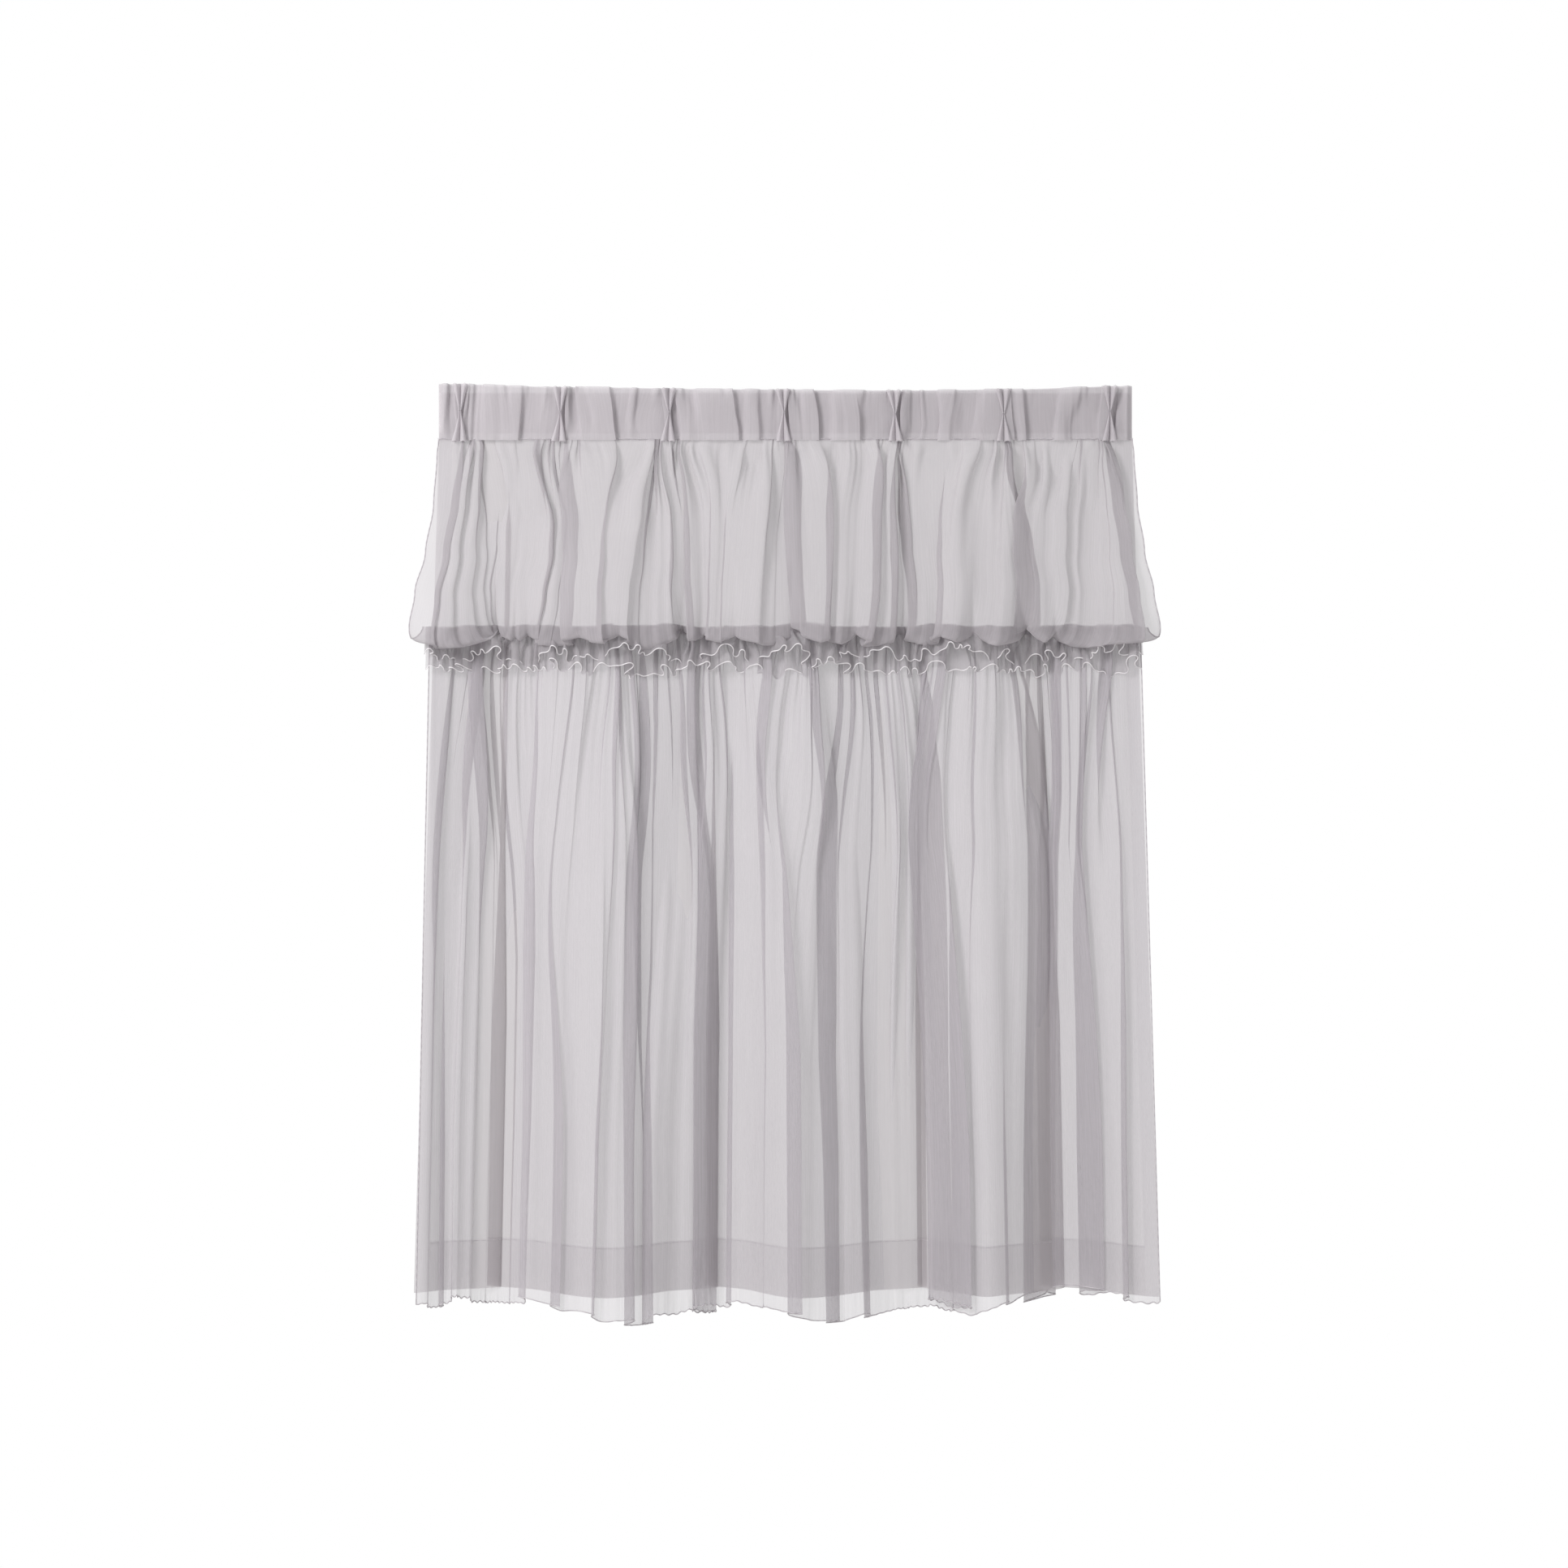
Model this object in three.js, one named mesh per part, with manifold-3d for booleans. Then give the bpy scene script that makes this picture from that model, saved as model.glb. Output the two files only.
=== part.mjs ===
// A pinch-pleated sheer curtain with a balloon valance and two frills, hung by rings and pin hooks
// on a slim rod that stays hidden behind the heading.
// Millimetres. The origin is on the wall plane, level with the rod's axis and midway along the heading.
// +X runs to the right as seen from the room, +Y goes into the wall and +Z is up.
import * as THREE from "three";
import { mergeVertices } from "three/addons/utils/BufferGeometryUtils.js";
import Module from "manifold-3d";

// ---- Driving dimensions ----
const GAP = 0.3; // left between pieces that touch

const CURTAIN_WIDTH = 1000; // across the heading
const CURTAIN_DROP = 1335; // top of the heading to the sheer's rolled edge
const HEADING_HEIGHT = 75;
const HEADING_RISE = 27; // top of the heading above the rod's axis, so that it hides the rod
const HEADING_THICKNESS = 1.2; // folded sheer over the stiffener
const TAPE_BELOW_TOP = 7;
const TAPE_THICKNESS = 1;

const PLEAT_COUNT = 7;
const PLEAT_INSET = 32; // first pleat from the curtain's side edge
const PLEAT_NUDGES = [0, -12, -11, -2, 2, 2, -1]; // how far each ring stands from its even place
const PLEAT_WIDTH = 20;
const PLEAT_DEPTH = 16;
const PLEAT_PINCH = 0.4; // share of the pleat's width that is left where it is stitched
const PLEAT_PINCH_AT = 0.46; // stitching height, as a share of the heading from its top

const ROD_DIAMETER = 12;
const ROD_WALL = 1;
const ROD_OVERHANG = 4; // rod's end beyond the right bracket, and as far out on the left
const ROD_PROJECTION = 78; // rod's axis from the wall
const CAP_FLANGE = 3; // end cap's flange proud of the rod's diameter
const CAP_THICKNESS = 4;
const CAP_PLUG = 12;

const RING_PLAY = 5; // ring's bore over the rod's diameter
const RING_RADIAL = 3.5;
const RING_WIDTH = 4;
const RING_CHAMFER = 0.6;
const RING_TO_TAPE = 1.5;
const EYELET_RADIUS = 4; // to the middle of its wire
const EYELET_WIRE = 2.2;
const HOOK_WIRE = 1.8;
const HOOK_PLAY = 0.4; // between the hook's bend and the eyelet
const HOOK_TIP = 5;
const HOOK_PIN = 28;
const HOOK_COVER = 2; // heading that hangs below the hook's bend and hides it

const BRACKET_WIDTH = 12;
const BRACKET_FROM_RING = 15; // to the right of the first ring and of the last one
const CUP_WALL = 2.5;
const CUP_LIP = 5; // the cup's lips above the rod's axis
const ARM_THICKNESS = 5;
const PLATE_WIDTH = 24;
const PLATE_HEIGHT = 52;
const PLATE_THICKNESS = 2.5;
const PLATE_CENTRE = -2; // below the rod's axis
const PLATE_CORNER = 5;
const SCREW_SPACING = 34;
const SCREW_DIAMETER = 4;
const SCREW_HEAD = 8;
const SCREW_HEAD_HEIGHT = 2.2;
const SCREW_LENGTH = 30;
const SET_SCREW_DIAMETER = 3.4;
const SET_SCREW_HEAD = 8;
const SET_SCREW_HEAD_HEIGHT = 2.9;
const SET_SCREW_RISE = 1.5; // above the rod's axis

const FOLD_PITCH = 268; // the big folds that the whole curtain hangs in
const FOLD_CREST = 20; // where one of them comes forward
const FOLD_DEPTH_TOP = 2;
const FOLD_DEPTH_BOTTOM = 38;
const FLARE = 0.07; // how much wider the cloth hangs at its bottom edge
const VALANCE_FLARE = 0.068;

const LINING_THICKNESS = 0.8;
const LINING_SHORT = 30; // lining's bottom edge above the sheer's
const LINING_HEM = 72;
const SIDE_HEM = 18;
const SHEER_THICKNESS = 0.6;
const SHEER_PROUD_TOP = 3.5; // sheer in front of the lining at the gathering seam
const SHEER_PROUD_BOTTOM = 18;
const EDGING = 1.8; // rolled edge, across
const SEAM_DROP = 345; // top of the heading to the gathering seam
const SEAM_TAPE_HEIGHT = 10;
const SEAM_TAPE_PROUD = 5.2;
const LOWER_FRILL_DROP = 62;
const LOWER_FRILL_PROUD = 8.5;
const UPPER_FRILL_DROP = 42;
const UPPER_FRILL_PROUD = 14;
const FRILL_WAVE = 1.6;
const FRILL_PITCH = 62;
const VALANCE_LIP = 35; // the balloon's lip below the seam
const VALANCE_TOP_PROUD = 1.4;
const VALANCE_PUFF = 52; // how far the balloon stands in front of the lining
const VALANCE_TUCK_PROUD = 19; // where the balloon's turned-under edge meets the seam

// ---- Places worked out from them ----
const headingTop = HEADING_RISE;
const headingBottom = headingTop - HEADING_HEIGHT;
const sheerBottom = headingTop - CURTAIN_DROP + EDGING + GAP;
const liningBottom = headingTop - CURTAIN_DROP + LINING_SHORT;
const seam = headingTop - SEAM_DROP;
const lip = seam - VALANCE_LIP;
const rodRadius = ROD_DIAMETER / 2;
const ringBore = rodRadius + RING_PLAY / 2;
const ringOuter = ringBore + RING_RADIAL;
const ringZ = -(RING_PLAY / 2 - GAP); // the ring hangs on top of the rod
const eyeletZ = ringZ - ringOuter - EYELET_RADIUS + EYELET_WIRE / 4;
const hookBendZ = eyeletZ - EYELET_RADIUS;
const hookBend = EYELET_WIRE / 2 + HOOK_PLAY + HOOK_WIRE / 2;

// Distances from the wall, layer by layer.
const tapeBack = ROD_PROJECTION + ringOuter + RING_TO_TAPE;
const tapeFront = tapeBack + TAPE_THICKNESS;
const pinPocket = HOOK_WIRE + 4 * GAP;
const bandBack = tapeFront + pinPocket;
const bandFront = bandBack + HEADING_THICKNESS;
const clothOut = bandBack;
const hookLegOut = ROD_PROJECTION + hookBend;
const hookPinOut = tapeFront + pinPocket / 2;
const hookTurn = (hookPinOut - hookLegOut) / 2;
const tapeTop = headingTop - TAPE_BELOW_TOP;
const tapeBottom = headingBottom + HOOK_COVER + HOOK_WIRE / 2 + hookTurn + GAP;
const pleatBack = bandFront + GAP;

const pleatPitch = (CURTAIN_WIDTH - 2 * PLEAT_INSET) / (PLEAT_COUNT - 1);
const pleatX = PLEAT_NUDGES.map((nudge, i) => (i - (PLEAT_COUNT - 1) / 2) * pleatPitch + nudge);
const bracketX = { left: pleatX[0] + BRACKET_FROM_RING, right: pleatX[PLEAT_COUNT - 1] + BRACKET_FROM_RING };
const rodEnd = bracketX.right + BRACKET_WIDTH / 2 + ROD_OVERHANG;

const coated = new THREE.MeshStandardMaterial({ color: 0xf2f1ee, roughness: 0.45, metalness: 0.0 });
const plastic = new THREE.MeshStandardMaterial({ color: 0xf4f4f2, roughness: 0.4, metalness: 0.0 });
const steel = new THREE.MeshStandardMaterial({ color: 0xb9bbbd, roughness: 0.35, metalness: 1.0 });
const sheer = new THREE.MeshStandardMaterial({ color: 0xc3bdc4, roughness: 0.85, metalness: 0.0 });
const lining = new THREE.MeshStandardMaterial({ color: 0xc4bec1, roughness: 0.8, metalness: 0.0 });
const tapeCloth = new THREE.MeshStandardMaterial({ color: 0xefedec, roughness: 0.9, metalness: 0.0 });
const thread = new THREE.MeshStandardMaterial({ color: 0xaaa4ab, roughness: 0.7, metalness: 0.0 });

const wasm = await Module();
wasm.setup();

// ---- Helpers ----
// Turns a closed three.js geometry into a solid for joining and cutting.
function solid(geometry) {
  const bare = geometry.clone();
  bare.deleteAttribute("normal");
  bare.deleteAttribute("uv");
  const merged = mergeVertices(bare, 1e-4);
  return new wasm.Manifold(
    new wasm.Mesh({
      numProp: 3,
      vertProperties: merged.attributes.position.array,
      triVerts: new Uint32Array(merged.index.array),
    }),
  );
}

function geometryOf(made) {
  const mesh = made.getMesh();
  const geometry = new THREE.BufferGeometry();
  geometry.setAttribute("position", new THREE.BufferAttribute(mesh.vertProperties, 3));
  geometry.setIndex(new THREE.BufferAttribute(mesh.triVerts, 1));
  geometry.computeVertexNormals();
  return geometry;
}

function mesh(name, geometry, material) {
  const made = new THREE.Mesh(geometry, material);
  made.name = name;
  return made;
}

// A turned shape whose axis lies along X; the profile is [radius, along] pairs.
function turnedAlongX(profile, segments) {
  const points = profile.map(([radius, along]) => new THREE.Vector2(radius, along));
  return new THREE.LatheGeometry(points, segments).rotateZ(-Math.PI / 2);
}

// A turned shape whose axis lies along Y.
function turnedAlongY(profile, segments) {
  const points = profile.map(([radius, along]) => new THREE.Vector2(radius, along));
  return new THREE.LatheGeometry(points, segments);
}

function slab(outline, depth, curveSegments) {
  return new THREE.ExtrudeGeometry(outline, { depth, curveSegments, bevelEnabled: false });
}

// Cuts the box's lower face along the same diagonals as its upper one, so that a thin layer keeps its
// thickness where it twists. Each of its squares is held as the corners a, b, d and b, c, d.
function matchDiagonals(geometry) {
  const { start, count } = geometry.groups[3];
  const index = geometry.index;
  for (let i = start; i < start + count; i += 6) {
    index.setX(i + 2, index.getX(i + 4));
    index.setX(i + 3, index.getX(i));
  }
}

// A cloth layer: a thin flat box whose points are then moved by place(x, z, front), where front is
// how far the point stands in front of the layer's middle.
function cloth(name, material, { left, right, top, bottom, thickness, columns, rows, place }) {
  const geometry = new THREE.BoxGeometry(right - left, thickness, top - bottom, columns, 1, rows);
  matchDiagonals(geometry);
  geometry.translate((left + right) / 2, 0, (top + bottom) / 2);
  const position = geometry.attributes.position;
  for (let i = 0; i < position.count; i++) {
    const moved = place(position.getX(i), position.getZ(i), -position.getY(i));
    position.setXYZ(i, moved.x, moved.y, moved.z);
  }
  geometry.computeVertexNormals();
  return mesh(name, geometry, material);
}

function fallen(z) {
  return Math.max(0, (headingBottom - z) / (CURTAIN_DROP - HEADING_HEIGHT));
}

function flare(z) {
  return 1 + FLARE * fallen(z);
}

// Where a point of the hanging cloth lies: the big folds deepen and the width flares downwards.
function hang(x, z, proud, spread = flare(z)) {
  const depth = FOLD_DEPTH_TOP + (FOLD_DEPTH_BOTTOM - FOLD_DEPTH_TOP) * fallen(z);
  const wave = Math.cos((2 * Math.PI * ((x * spread) / flare(z) - FOLD_CREST)) / FOLD_PITCH);
  return new THREE.Vector3(x * spread, -(clothOut + proud + depth * wave), z);
}

const half = CURTAIN_WIDTH / 2;

// ---- Rod, brackets and screws ----
function rodAndCaps() {
  const bore = rodRadius - ROD_WALL;
  const tube = turnedAlongX(
    [
      [bore, -rodEnd],
      [rodRadius, -rodEnd],
      [rodRadius, rodEnd],
      [bore, rodEnd],
      [bore, -rodEnd],
    ],
    24,
  );
  const rod = mesh("curtain_rod", tube, coated);
  rod.position.set(0, -ROD_PROJECTION, 0);
  const flange = rodRadius + CAP_FLANGE / 2;
  const plug = bore - GAP;
  const caps = ["left", "right"].map((side) => {
    const cap = mesh(
      "rod_end_cap_" + side,
      turnedAlongX(
        [
          [0, -CAP_PLUG],
          [plug, -CAP_PLUG],
          [plug, GAP],
          [flange, GAP],
          [flange, CAP_THICKNESS],
          [flange - 1, CAP_THICKNESS + 1],
          [0, CAP_THICKNESS + 1],
        ],
        20,
      ),
      plastic,
    );
    cap.position.set(side === "left" ? -rodEnd : rodEnd, -ROD_PROJECTION, 0);
    if (side === "left") cap.rotation.z = Math.PI;
    return cap;
  });
  return [rod, ...caps];
}

// The bracket's arm and open cup are one outline in the plane across the rod, as thick as the bracket.
function bracket(side) {
  const inner = rodRadius + GAP;
  const outer = inner + CUP_WALL;
  const armJoin = Math.sqrt(outer ** 2 - ARM_THICKNESS ** 2);
  const outline = new THREE.Shape();
  outline.moveTo(-PLATE_THICKNESS / 2, -ARM_THICKNESS);
  outline.lineTo(-ROD_PROJECTION + armJoin, -ARM_THICKNESS);
  outline.absarc(-ROD_PROJECTION, 0, outer, -Math.asin(ARM_THICKNESS / outer), -Math.PI, true);
  outline.lineTo(-ROD_PROJECTION - outer, CUP_LIP);
  outline.lineTo(-ROD_PROJECTION - inner, CUP_LIP);
  outline.absarc(-ROD_PROJECTION, 0, inner, Math.PI, 2 * Math.PI, false);
  outline.lineTo(-ROD_PROJECTION + inner, CUP_LIP);
  outline.lineTo(-ROD_PROJECTION + outer, CUP_LIP);
  outline.lineTo(-ROD_PROJECTION + outer, 0);
  outline.lineTo(-PLATE_THICKNESS / 2, 0);
  const acrossRod = new THREE.Matrix4().makeBasis(
    new THREE.Vector3(0, 1, 0),
    new THREE.Vector3(0, 0, 1),
    new THREE.Vector3(1, 0, 0),
  );
  const arm = slab(outline, BRACKET_WIDTH, 10);
  arm.translate(0, 0, -BRACKET_WIDTH / 2).applyMatrix4(acrossRod);

  const w = PLATE_WIDTH / 2;
  const h = PLATE_HEIGHT / 2;
  const face = new THREE.Shape();
  face.moveTo(-w + PLATE_CORNER, -h);
  face.absarc(w - PLATE_CORNER, -h + PLATE_CORNER, PLATE_CORNER, -Math.PI / 2, 0, false);
  face.absarc(w - PLATE_CORNER, h - PLATE_CORNER, PLATE_CORNER, 0, Math.PI / 2, false);
  face.absarc(-w + PLATE_CORNER, h - PLATE_CORNER, PLATE_CORNER, Math.PI / 2, Math.PI, false);
  face.absarc(-w + PLATE_CORNER, -h + PLATE_CORNER, PLATE_CORNER, Math.PI, 1.5 * Math.PI, false);
  for (const end of [-1, 1]) {
    const hole = new THREE.Path();
    hole.absarc(0, (end * SCREW_SPACING) / 2, SCREW_DIAMETER / 2 + GAP, 0, 2 * Math.PI, true);
    face.holes.push(hole);
  }
  const plate = slab(face, PLATE_THICKNESS, 6);
  plate.rotateX(Math.PI / 2).translate(0, 0, PLATE_CENTRE);

  const threadHole = new THREE.CylinderGeometry(
    SET_SCREW_DIAMETER / 2 + GAP,
    SET_SCREW_DIAMETER / 2 + GAP,
    3 * CUP_WALL,
    12,
  );
  threadHole.translate(0, -ROD_PROJECTION - outer, SET_SCREW_RISE);
  const made = solid(plate).add(solid(arm)).subtract(solid(threadHole));
  const piece = mesh("wall_bracket_" + side, geometryOf(made), coated);
  piece.position.x = bracketX[side];
  return piece;
}

function wallScrew(side, end, label) {
  const radius = SCREW_DIAMETER / 2;
  const underHead = -PLATE_THICKNESS - GAP;
  const point = underHead + SCREW_LENGTH;
  const profile = [
    [0, underHead - SCREW_HEAD_HEIGHT],
    [SCREW_HEAD / 2 - 1, underHead - SCREW_HEAD_HEIGHT],
    [SCREW_HEAD / 2, underHead - SCREW_HEAD_HEIGHT / 2],
    [SCREW_HEAD / 2, underHead],
    [radius, underHead],
    [radius, point - 2 * radius],
    [0, point],
  ];
  const piece = mesh(`wall_screw_${side}_${label}`, turnedAlongY(profile, 12), steel);
  piece.position.set(bracketX[side], 0, PLATE_CENTRE + (end * SCREW_SPACING) / 2);
  return piece;
}

// The thumb screw through the cup's front lip stops the rod from lifting out.
function setScrew(side) {
  const radius = SET_SCREW_DIAMETER / 2;
  const front = -(rodRadius + GAP + CUP_WALL);
  const tip = -Math.sqrt(rodRadius ** 2 - SET_SCREW_RISE ** 2) - GAP;
  const head = front - GAP;
  const profile = [
    [0, head - SET_SCREW_HEAD_HEIGHT],
    [SET_SCREW_HEAD / 2, head - SET_SCREW_HEAD_HEIGHT],
    [SET_SCREW_HEAD / 2, head],
    [radius, head],
    [radius, tip - GAP],
    [0, tip],
  ];
  const piece = mesh("set_screw_" + side, turnedAlongY(profile, 12), steel);
  piece.position.set(bracketX[side], -ROD_PROJECTION, SET_SCREW_RISE);
  return piece;
}

// ---- Rings, hooks and pleats ----
function ringGeometry() {
  const side = RING_WIDTH / 2;
  const band = turnedAlongX(
    [
      [ringBore, -side],
      [ringOuter - RING_CHAMFER, -side],
      [ringOuter, -side + RING_CHAMFER],
      [ringOuter, side - RING_CHAMFER],
      [ringOuter - RING_CHAMFER, side],
      [ringBore, side],
      [ringBore, -side],
    ],
    18,
  );
  band.translate(0, 0, ringZ);
  const eyelet = new THREE.TorusGeometry(EYELET_RADIUS, EYELET_WIRE / 2, 6, 12);
  eyelet.rotateX(Math.PI / 2).translate(0, 0, eyeletZ);
  return geometryOf(solid(band).add(solid(eyelet)));
}

// One bent wire: tip behind the eyelet, over its lower wire, down behind the tape, round the tape's
// bottom edge and up into the pocket between the tape and the heading.
function hookGeometry() {
  const leg = ROD_PROJECTION - hookLegOut;
  const pin = ROD_PROJECTION - hookPinOut;
  const turnZ = tapeBottom - GAP;
  const points = [[hookBend, hookBendZ - HOOK_TIP]];
  const arc = (y, z, radius, from, to, steps) => {
    for (let i = 0; i <= steps; i++) {
      const angle = from + ((to - from) * i) / steps;
      points.push([y + radius * Math.cos(angle), z + radius * Math.sin(angle)]);
    }
  };
  arc(0, hookBendZ, hookBend, 0, Math.PI, 6);
  points.push([leg, (hookBendZ + turnZ) / 2]);
  arc(leg - hookTurn, turnZ, hookTurn, 0, -Math.PI, 6);
  points.push([pin, turnZ + HOOK_PIN / 2], [pin, turnZ + HOOK_PIN]);
  const path = new THREE.CatmullRomCurve3(points.map(([y, z]) => new THREE.Vector3(0, y, z)));
  const section = new THREE.Shape();
  section.absarc(0, 0, HOOK_WIRE / 2, 0, 2 * Math.PI, false);
  return new THREE.ExtrudeGeometry(section, { extrudePath: path, steps: 24, curveSegments: 3 });
}

// Two folds of cloth nipped together at the stitching: a double-lobed plan, narrowed at the pinch.
function pleatGeometry() {
  const w = PLEAT_WIDTH / 2;
  const d = PLEAT_DEPTH;
  const plan = new THREE.Shape();
  plan.moveTo(-0.3 * w, 0);
  plan.lineTo(0.3 * w, 0);
  plan.quadraticCurveTo(0.9 * w, -0.4 * d, w, -0.75 * d);
  plan.quadraticCurveTo(0.7 * w, -1.15 * d, 0.2 * w, -0.8 * d);
  plan.lineTo(0, -0.5 * d);
  plan.lineTo(-0.2 * w, -0.8 * d);
  plan.quadraticCurveTo(-0.7 * w, -1.15 * d, -w, -0.75 * d);
  plan.quadraticCurveTo(-0.9 * w, -0.4 * d, -0.3 * w, 0);
  const geometry = new THREE.ExtrudeGeometry(plan, {
    depth: HEADING_HEIGHT,
    steps: 6,
    curveSegments: 3,
    bevelEnabled: false,
  });
  const position = geometry.attributes.position;
  for (let i = 0; i < position.count; i++) {
    const fromTop = 1 - position.getZ(i) / HEADING_HEIGHT;
    const reach = fromTop < PLEAT_PINCH_AT ? PLEAT_PINCH_AT : 1 - PLEAT_PINCH_AT;
    const open = Math.min(1, Math.abs(fromTop - PLEAT_PINCH_AT) / reach);
    const width = PLEAT_PINCH + (1 - PLEAT_PINCH) * Math.sqrt(open);
    position.setX(i, position.getX(i) * width);
  }
  geometry.translate(0, -pleatBack, headingBottom);
  return geometry;
}

function carriers() {
  const ring = ringGeometry();
  const hook = hookGeometry();
  const pleat = pleatGeometry();
  return pleatX.flatMap((x, i) => {
    const pieces = [
      mesh("ring_" + (i + 1), ring, plastic),
      mesh("hook_" + (i + 1), hook, steel),
      mesh("pinch_pleat_" + (i + 1), pleat, sheer),
    ];
    pieces[0].position.set(x, -ROD_PROJECTION, 0);
    pieces[1].position.set(x, -ROD_PROJECTION, 0);
    pieces[2].position.set(x, 0, 0);
    return pieces;
  });
}

// ---- Heading ----
function heading() {
  const flat = (out) => (x, z, front) => new THREE.Vector3(x, -(out + front), z);
  const band = cloth("heading_band", sheer, {
    left: -half,
    right: half,
    top: headingTop,
    bottom: headingBottom,
    thickness: HEADING_THICKNESS,
    columns: 1,
    rows: 1,
    place: flat((bandBack + bandFront) / 2),
  });
  const tape = cloth("heading_tape", tapeCloth, {
    left: -half,
    right: half,
    top: tapeTop,
    bottom: tapeBottom,
    thickness: TAPE_THICKNESS,
    columns: 1,
    rows: 1,
    place: flat((tapeBack + tapeFront) / 2),
  });
  return [band, tape];
}

// ---- Lining with its hems ----
function liningPieces() {
  const inner = half - SIDE_HEM - GAP;
  const hemTop = liningBottom + LINING_HEM;
  const top = headingBottom - GAP;
  const onFold = (x, z, front) => hang(x, z, front);
  const panel = cloth("lining_panel", lining, {
    left: -inner,
    right: inner,
    top,
    bottom: hemTop + GAP,
    thickness: LINING_THICKNESS,
    columns: 34,
    rows: 4,
    place: onFold,
  });
  const hem = cloth("lining_hem", lining, {
    left: -inner,
    right: inner,
    top: hemTop,
    bottom: liningBottom,
    thickness: 2 * LINING_THICKNESS,
    columns: 34,
    rows: 1,
    place: onFold,
  });
  const sides = [-1, 1].map((side) =>
    cloth(side < 0 ? "lining_side_hem_left" : "lining_side_hem_right", lining, {
      left: side < 0 ? -half : half - SIDE_HEM,
      right: side < 0 ? -half + SIDE_HEM : half,
      top,
      bottom: liningBottom,
      thickness: 2 * LINING_THICKNESS,
      columns: 2,
      rows: 5,
      place: onFold,
    }),
  );
  return [panel, hem, ...sides];
}

// ---- Sheer skirt, gathering seam and frills ----
function sheerProud(z) {
  return SHEER_PROUD_TOP + ((SHEER_PROUD_BOTTOM - SHEER_PROUD_TOP) * (seam - z)) / (seam - sheerBottom);
}

function skirtPieces() {
  const skirt = cloth("sheer_skirt", sheer, {
    left: -half,
    right: half,
    top: seam,
    bottom: sheerBottom,
    thickness: SHEER_THICKNESS,
    columns: 34,
    rows: 5,
    place: (x, z, front) => hang(x, z, sheerProud(z) + front),
  });
  const edging = cloth("sheer_skirt_edging", thread, {
    left: -half,
    right: half,
    top: sheerBottom - GAP,
    bottom: sheerBottom - GAP - EDGING,
    thickness: EDGING,
    columns: 34,
    rows: 1,
    place: (x, z, front) => hang(x, z, SHEER_PROUD_BOTTOM + front),
  });
  const seamTape = cloth("gathering_tape", tapeCloth, {
    left: -half,
    right: half,
    top: seam,
    bottom: seam - SEAM_TAPE_HEIGHT,
    thickness: TAPE_THICKNESS / 2,
    columns: 34,
    rows: 1,
    place: (x, z, front) => hang(x, z, SEAM_TAPE_PROUD + front),
  });
  return [skirt, edging, seamTape];
}

function frill(name, proud, drop) {
  const bottom = seam - drop + EDGING + GAP;
  const wavy = (x, z, front) => {
    const wave = FRILL_WAVE * Math.cos((2 * Math.PI * x) / FRILL_PITCH);
    return hang(x, z, proud + wave + front);
  };
  const across = { left: -half, right: half, columns: 64, rows: 1, place: wavy };
  const band = cloth(name, sheer, { ...across, top: seam, bottom, thickness: SHEER_THICKNESS });
  const edging = cloth(name + "_edging", thread, {
    ...across,
    top: bottom - GAP,
    bottom: bottom - GAP - EDGING,
    thickness: EDGING,
  });
  return [band, edging];
}

// ---- Balloon valance: falls from the heading, puffs forward, turns under and rises to the seam ----
function valance() {
  const top = headingBottom - GAP;
  const fall = top - lip;
  const side = new THREE.CatmullRomCurve3([
    new THREE.Vector3(0, VALANCE_TOP_PROUD, top),
    new THREE.Vector3(0, VALANCE_TOP_PROUD + 0.16 * VALANCE_PUFF, top - 0.3 * fall),
    new THREE.Vector3(0, VALANCE_TOP_PROUD + 0.5 * VALANCE_PUFF, top - 0.65 * fall),
    new THREE.Vector3(0, 0.94 * VALANCE_PUFF, lip + 0.1 * fall),
    new THREE.Vector3(0, VALANCE_PUFF, lip + 0.03 * fall),
    new THREE.Vector3(0, 0.8 * VALANCE_PUFF, lip),
    new THREE.Vector3(0, VALANCE_TUCK_PROUD + 4, (lip + seam) / 2),
    new THREE.Vector3(0, VALANCE_TUCK_PROUD, seam),
  ]);
  const length = side.getLength();
  return cloth("balloon_valance", sheer, {
    left: -half,
    right: half,
    top: length,
    bottom: 0,
    thickness: SHEER_THICKNESS,
    columns: 34,
    rows: 12,
    place: (x, along, front) => {
      const share = Math.min(1, Math.max(0, 1 - along / length));
      const at = side.getPointAt(share);
      const way = side.getTangentAt(share);
      const proud = at.y - way.z * front;
      const z = at.z + way.y * front;
      return hang(x, z, proud, 1 + (VALANCE_FLARE * (top - z)) / fall);
    },
  });
}

const curtain = new THREE.Group();
curtain.add(...rodAndCaps());
for (const side of ["left", "right"]) {
  curtain.add(bracket(side), wallScrew(side, 1, "upper"), wallScrew(side, -1, "lower"), setScrew(side));
}
curtain.add(...carriers());
curtain.add(...heading());
curtain.add(...liningPieces());
curtain.add(...skirtPieces());
curtain.add(...frill("lower_frill", LOWER_FRILL_PROUD, LOWER_FRILL_DROP));
curtain.add(...frill("upper_frill", UPPER_FRILL_PROUD, UPPER_FRILL_DROP));
curtain.add(valance());

export default curtain;
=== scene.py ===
"""A pinch-pleated sheer curtain with a balloon valance and frills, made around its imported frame."""

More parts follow.
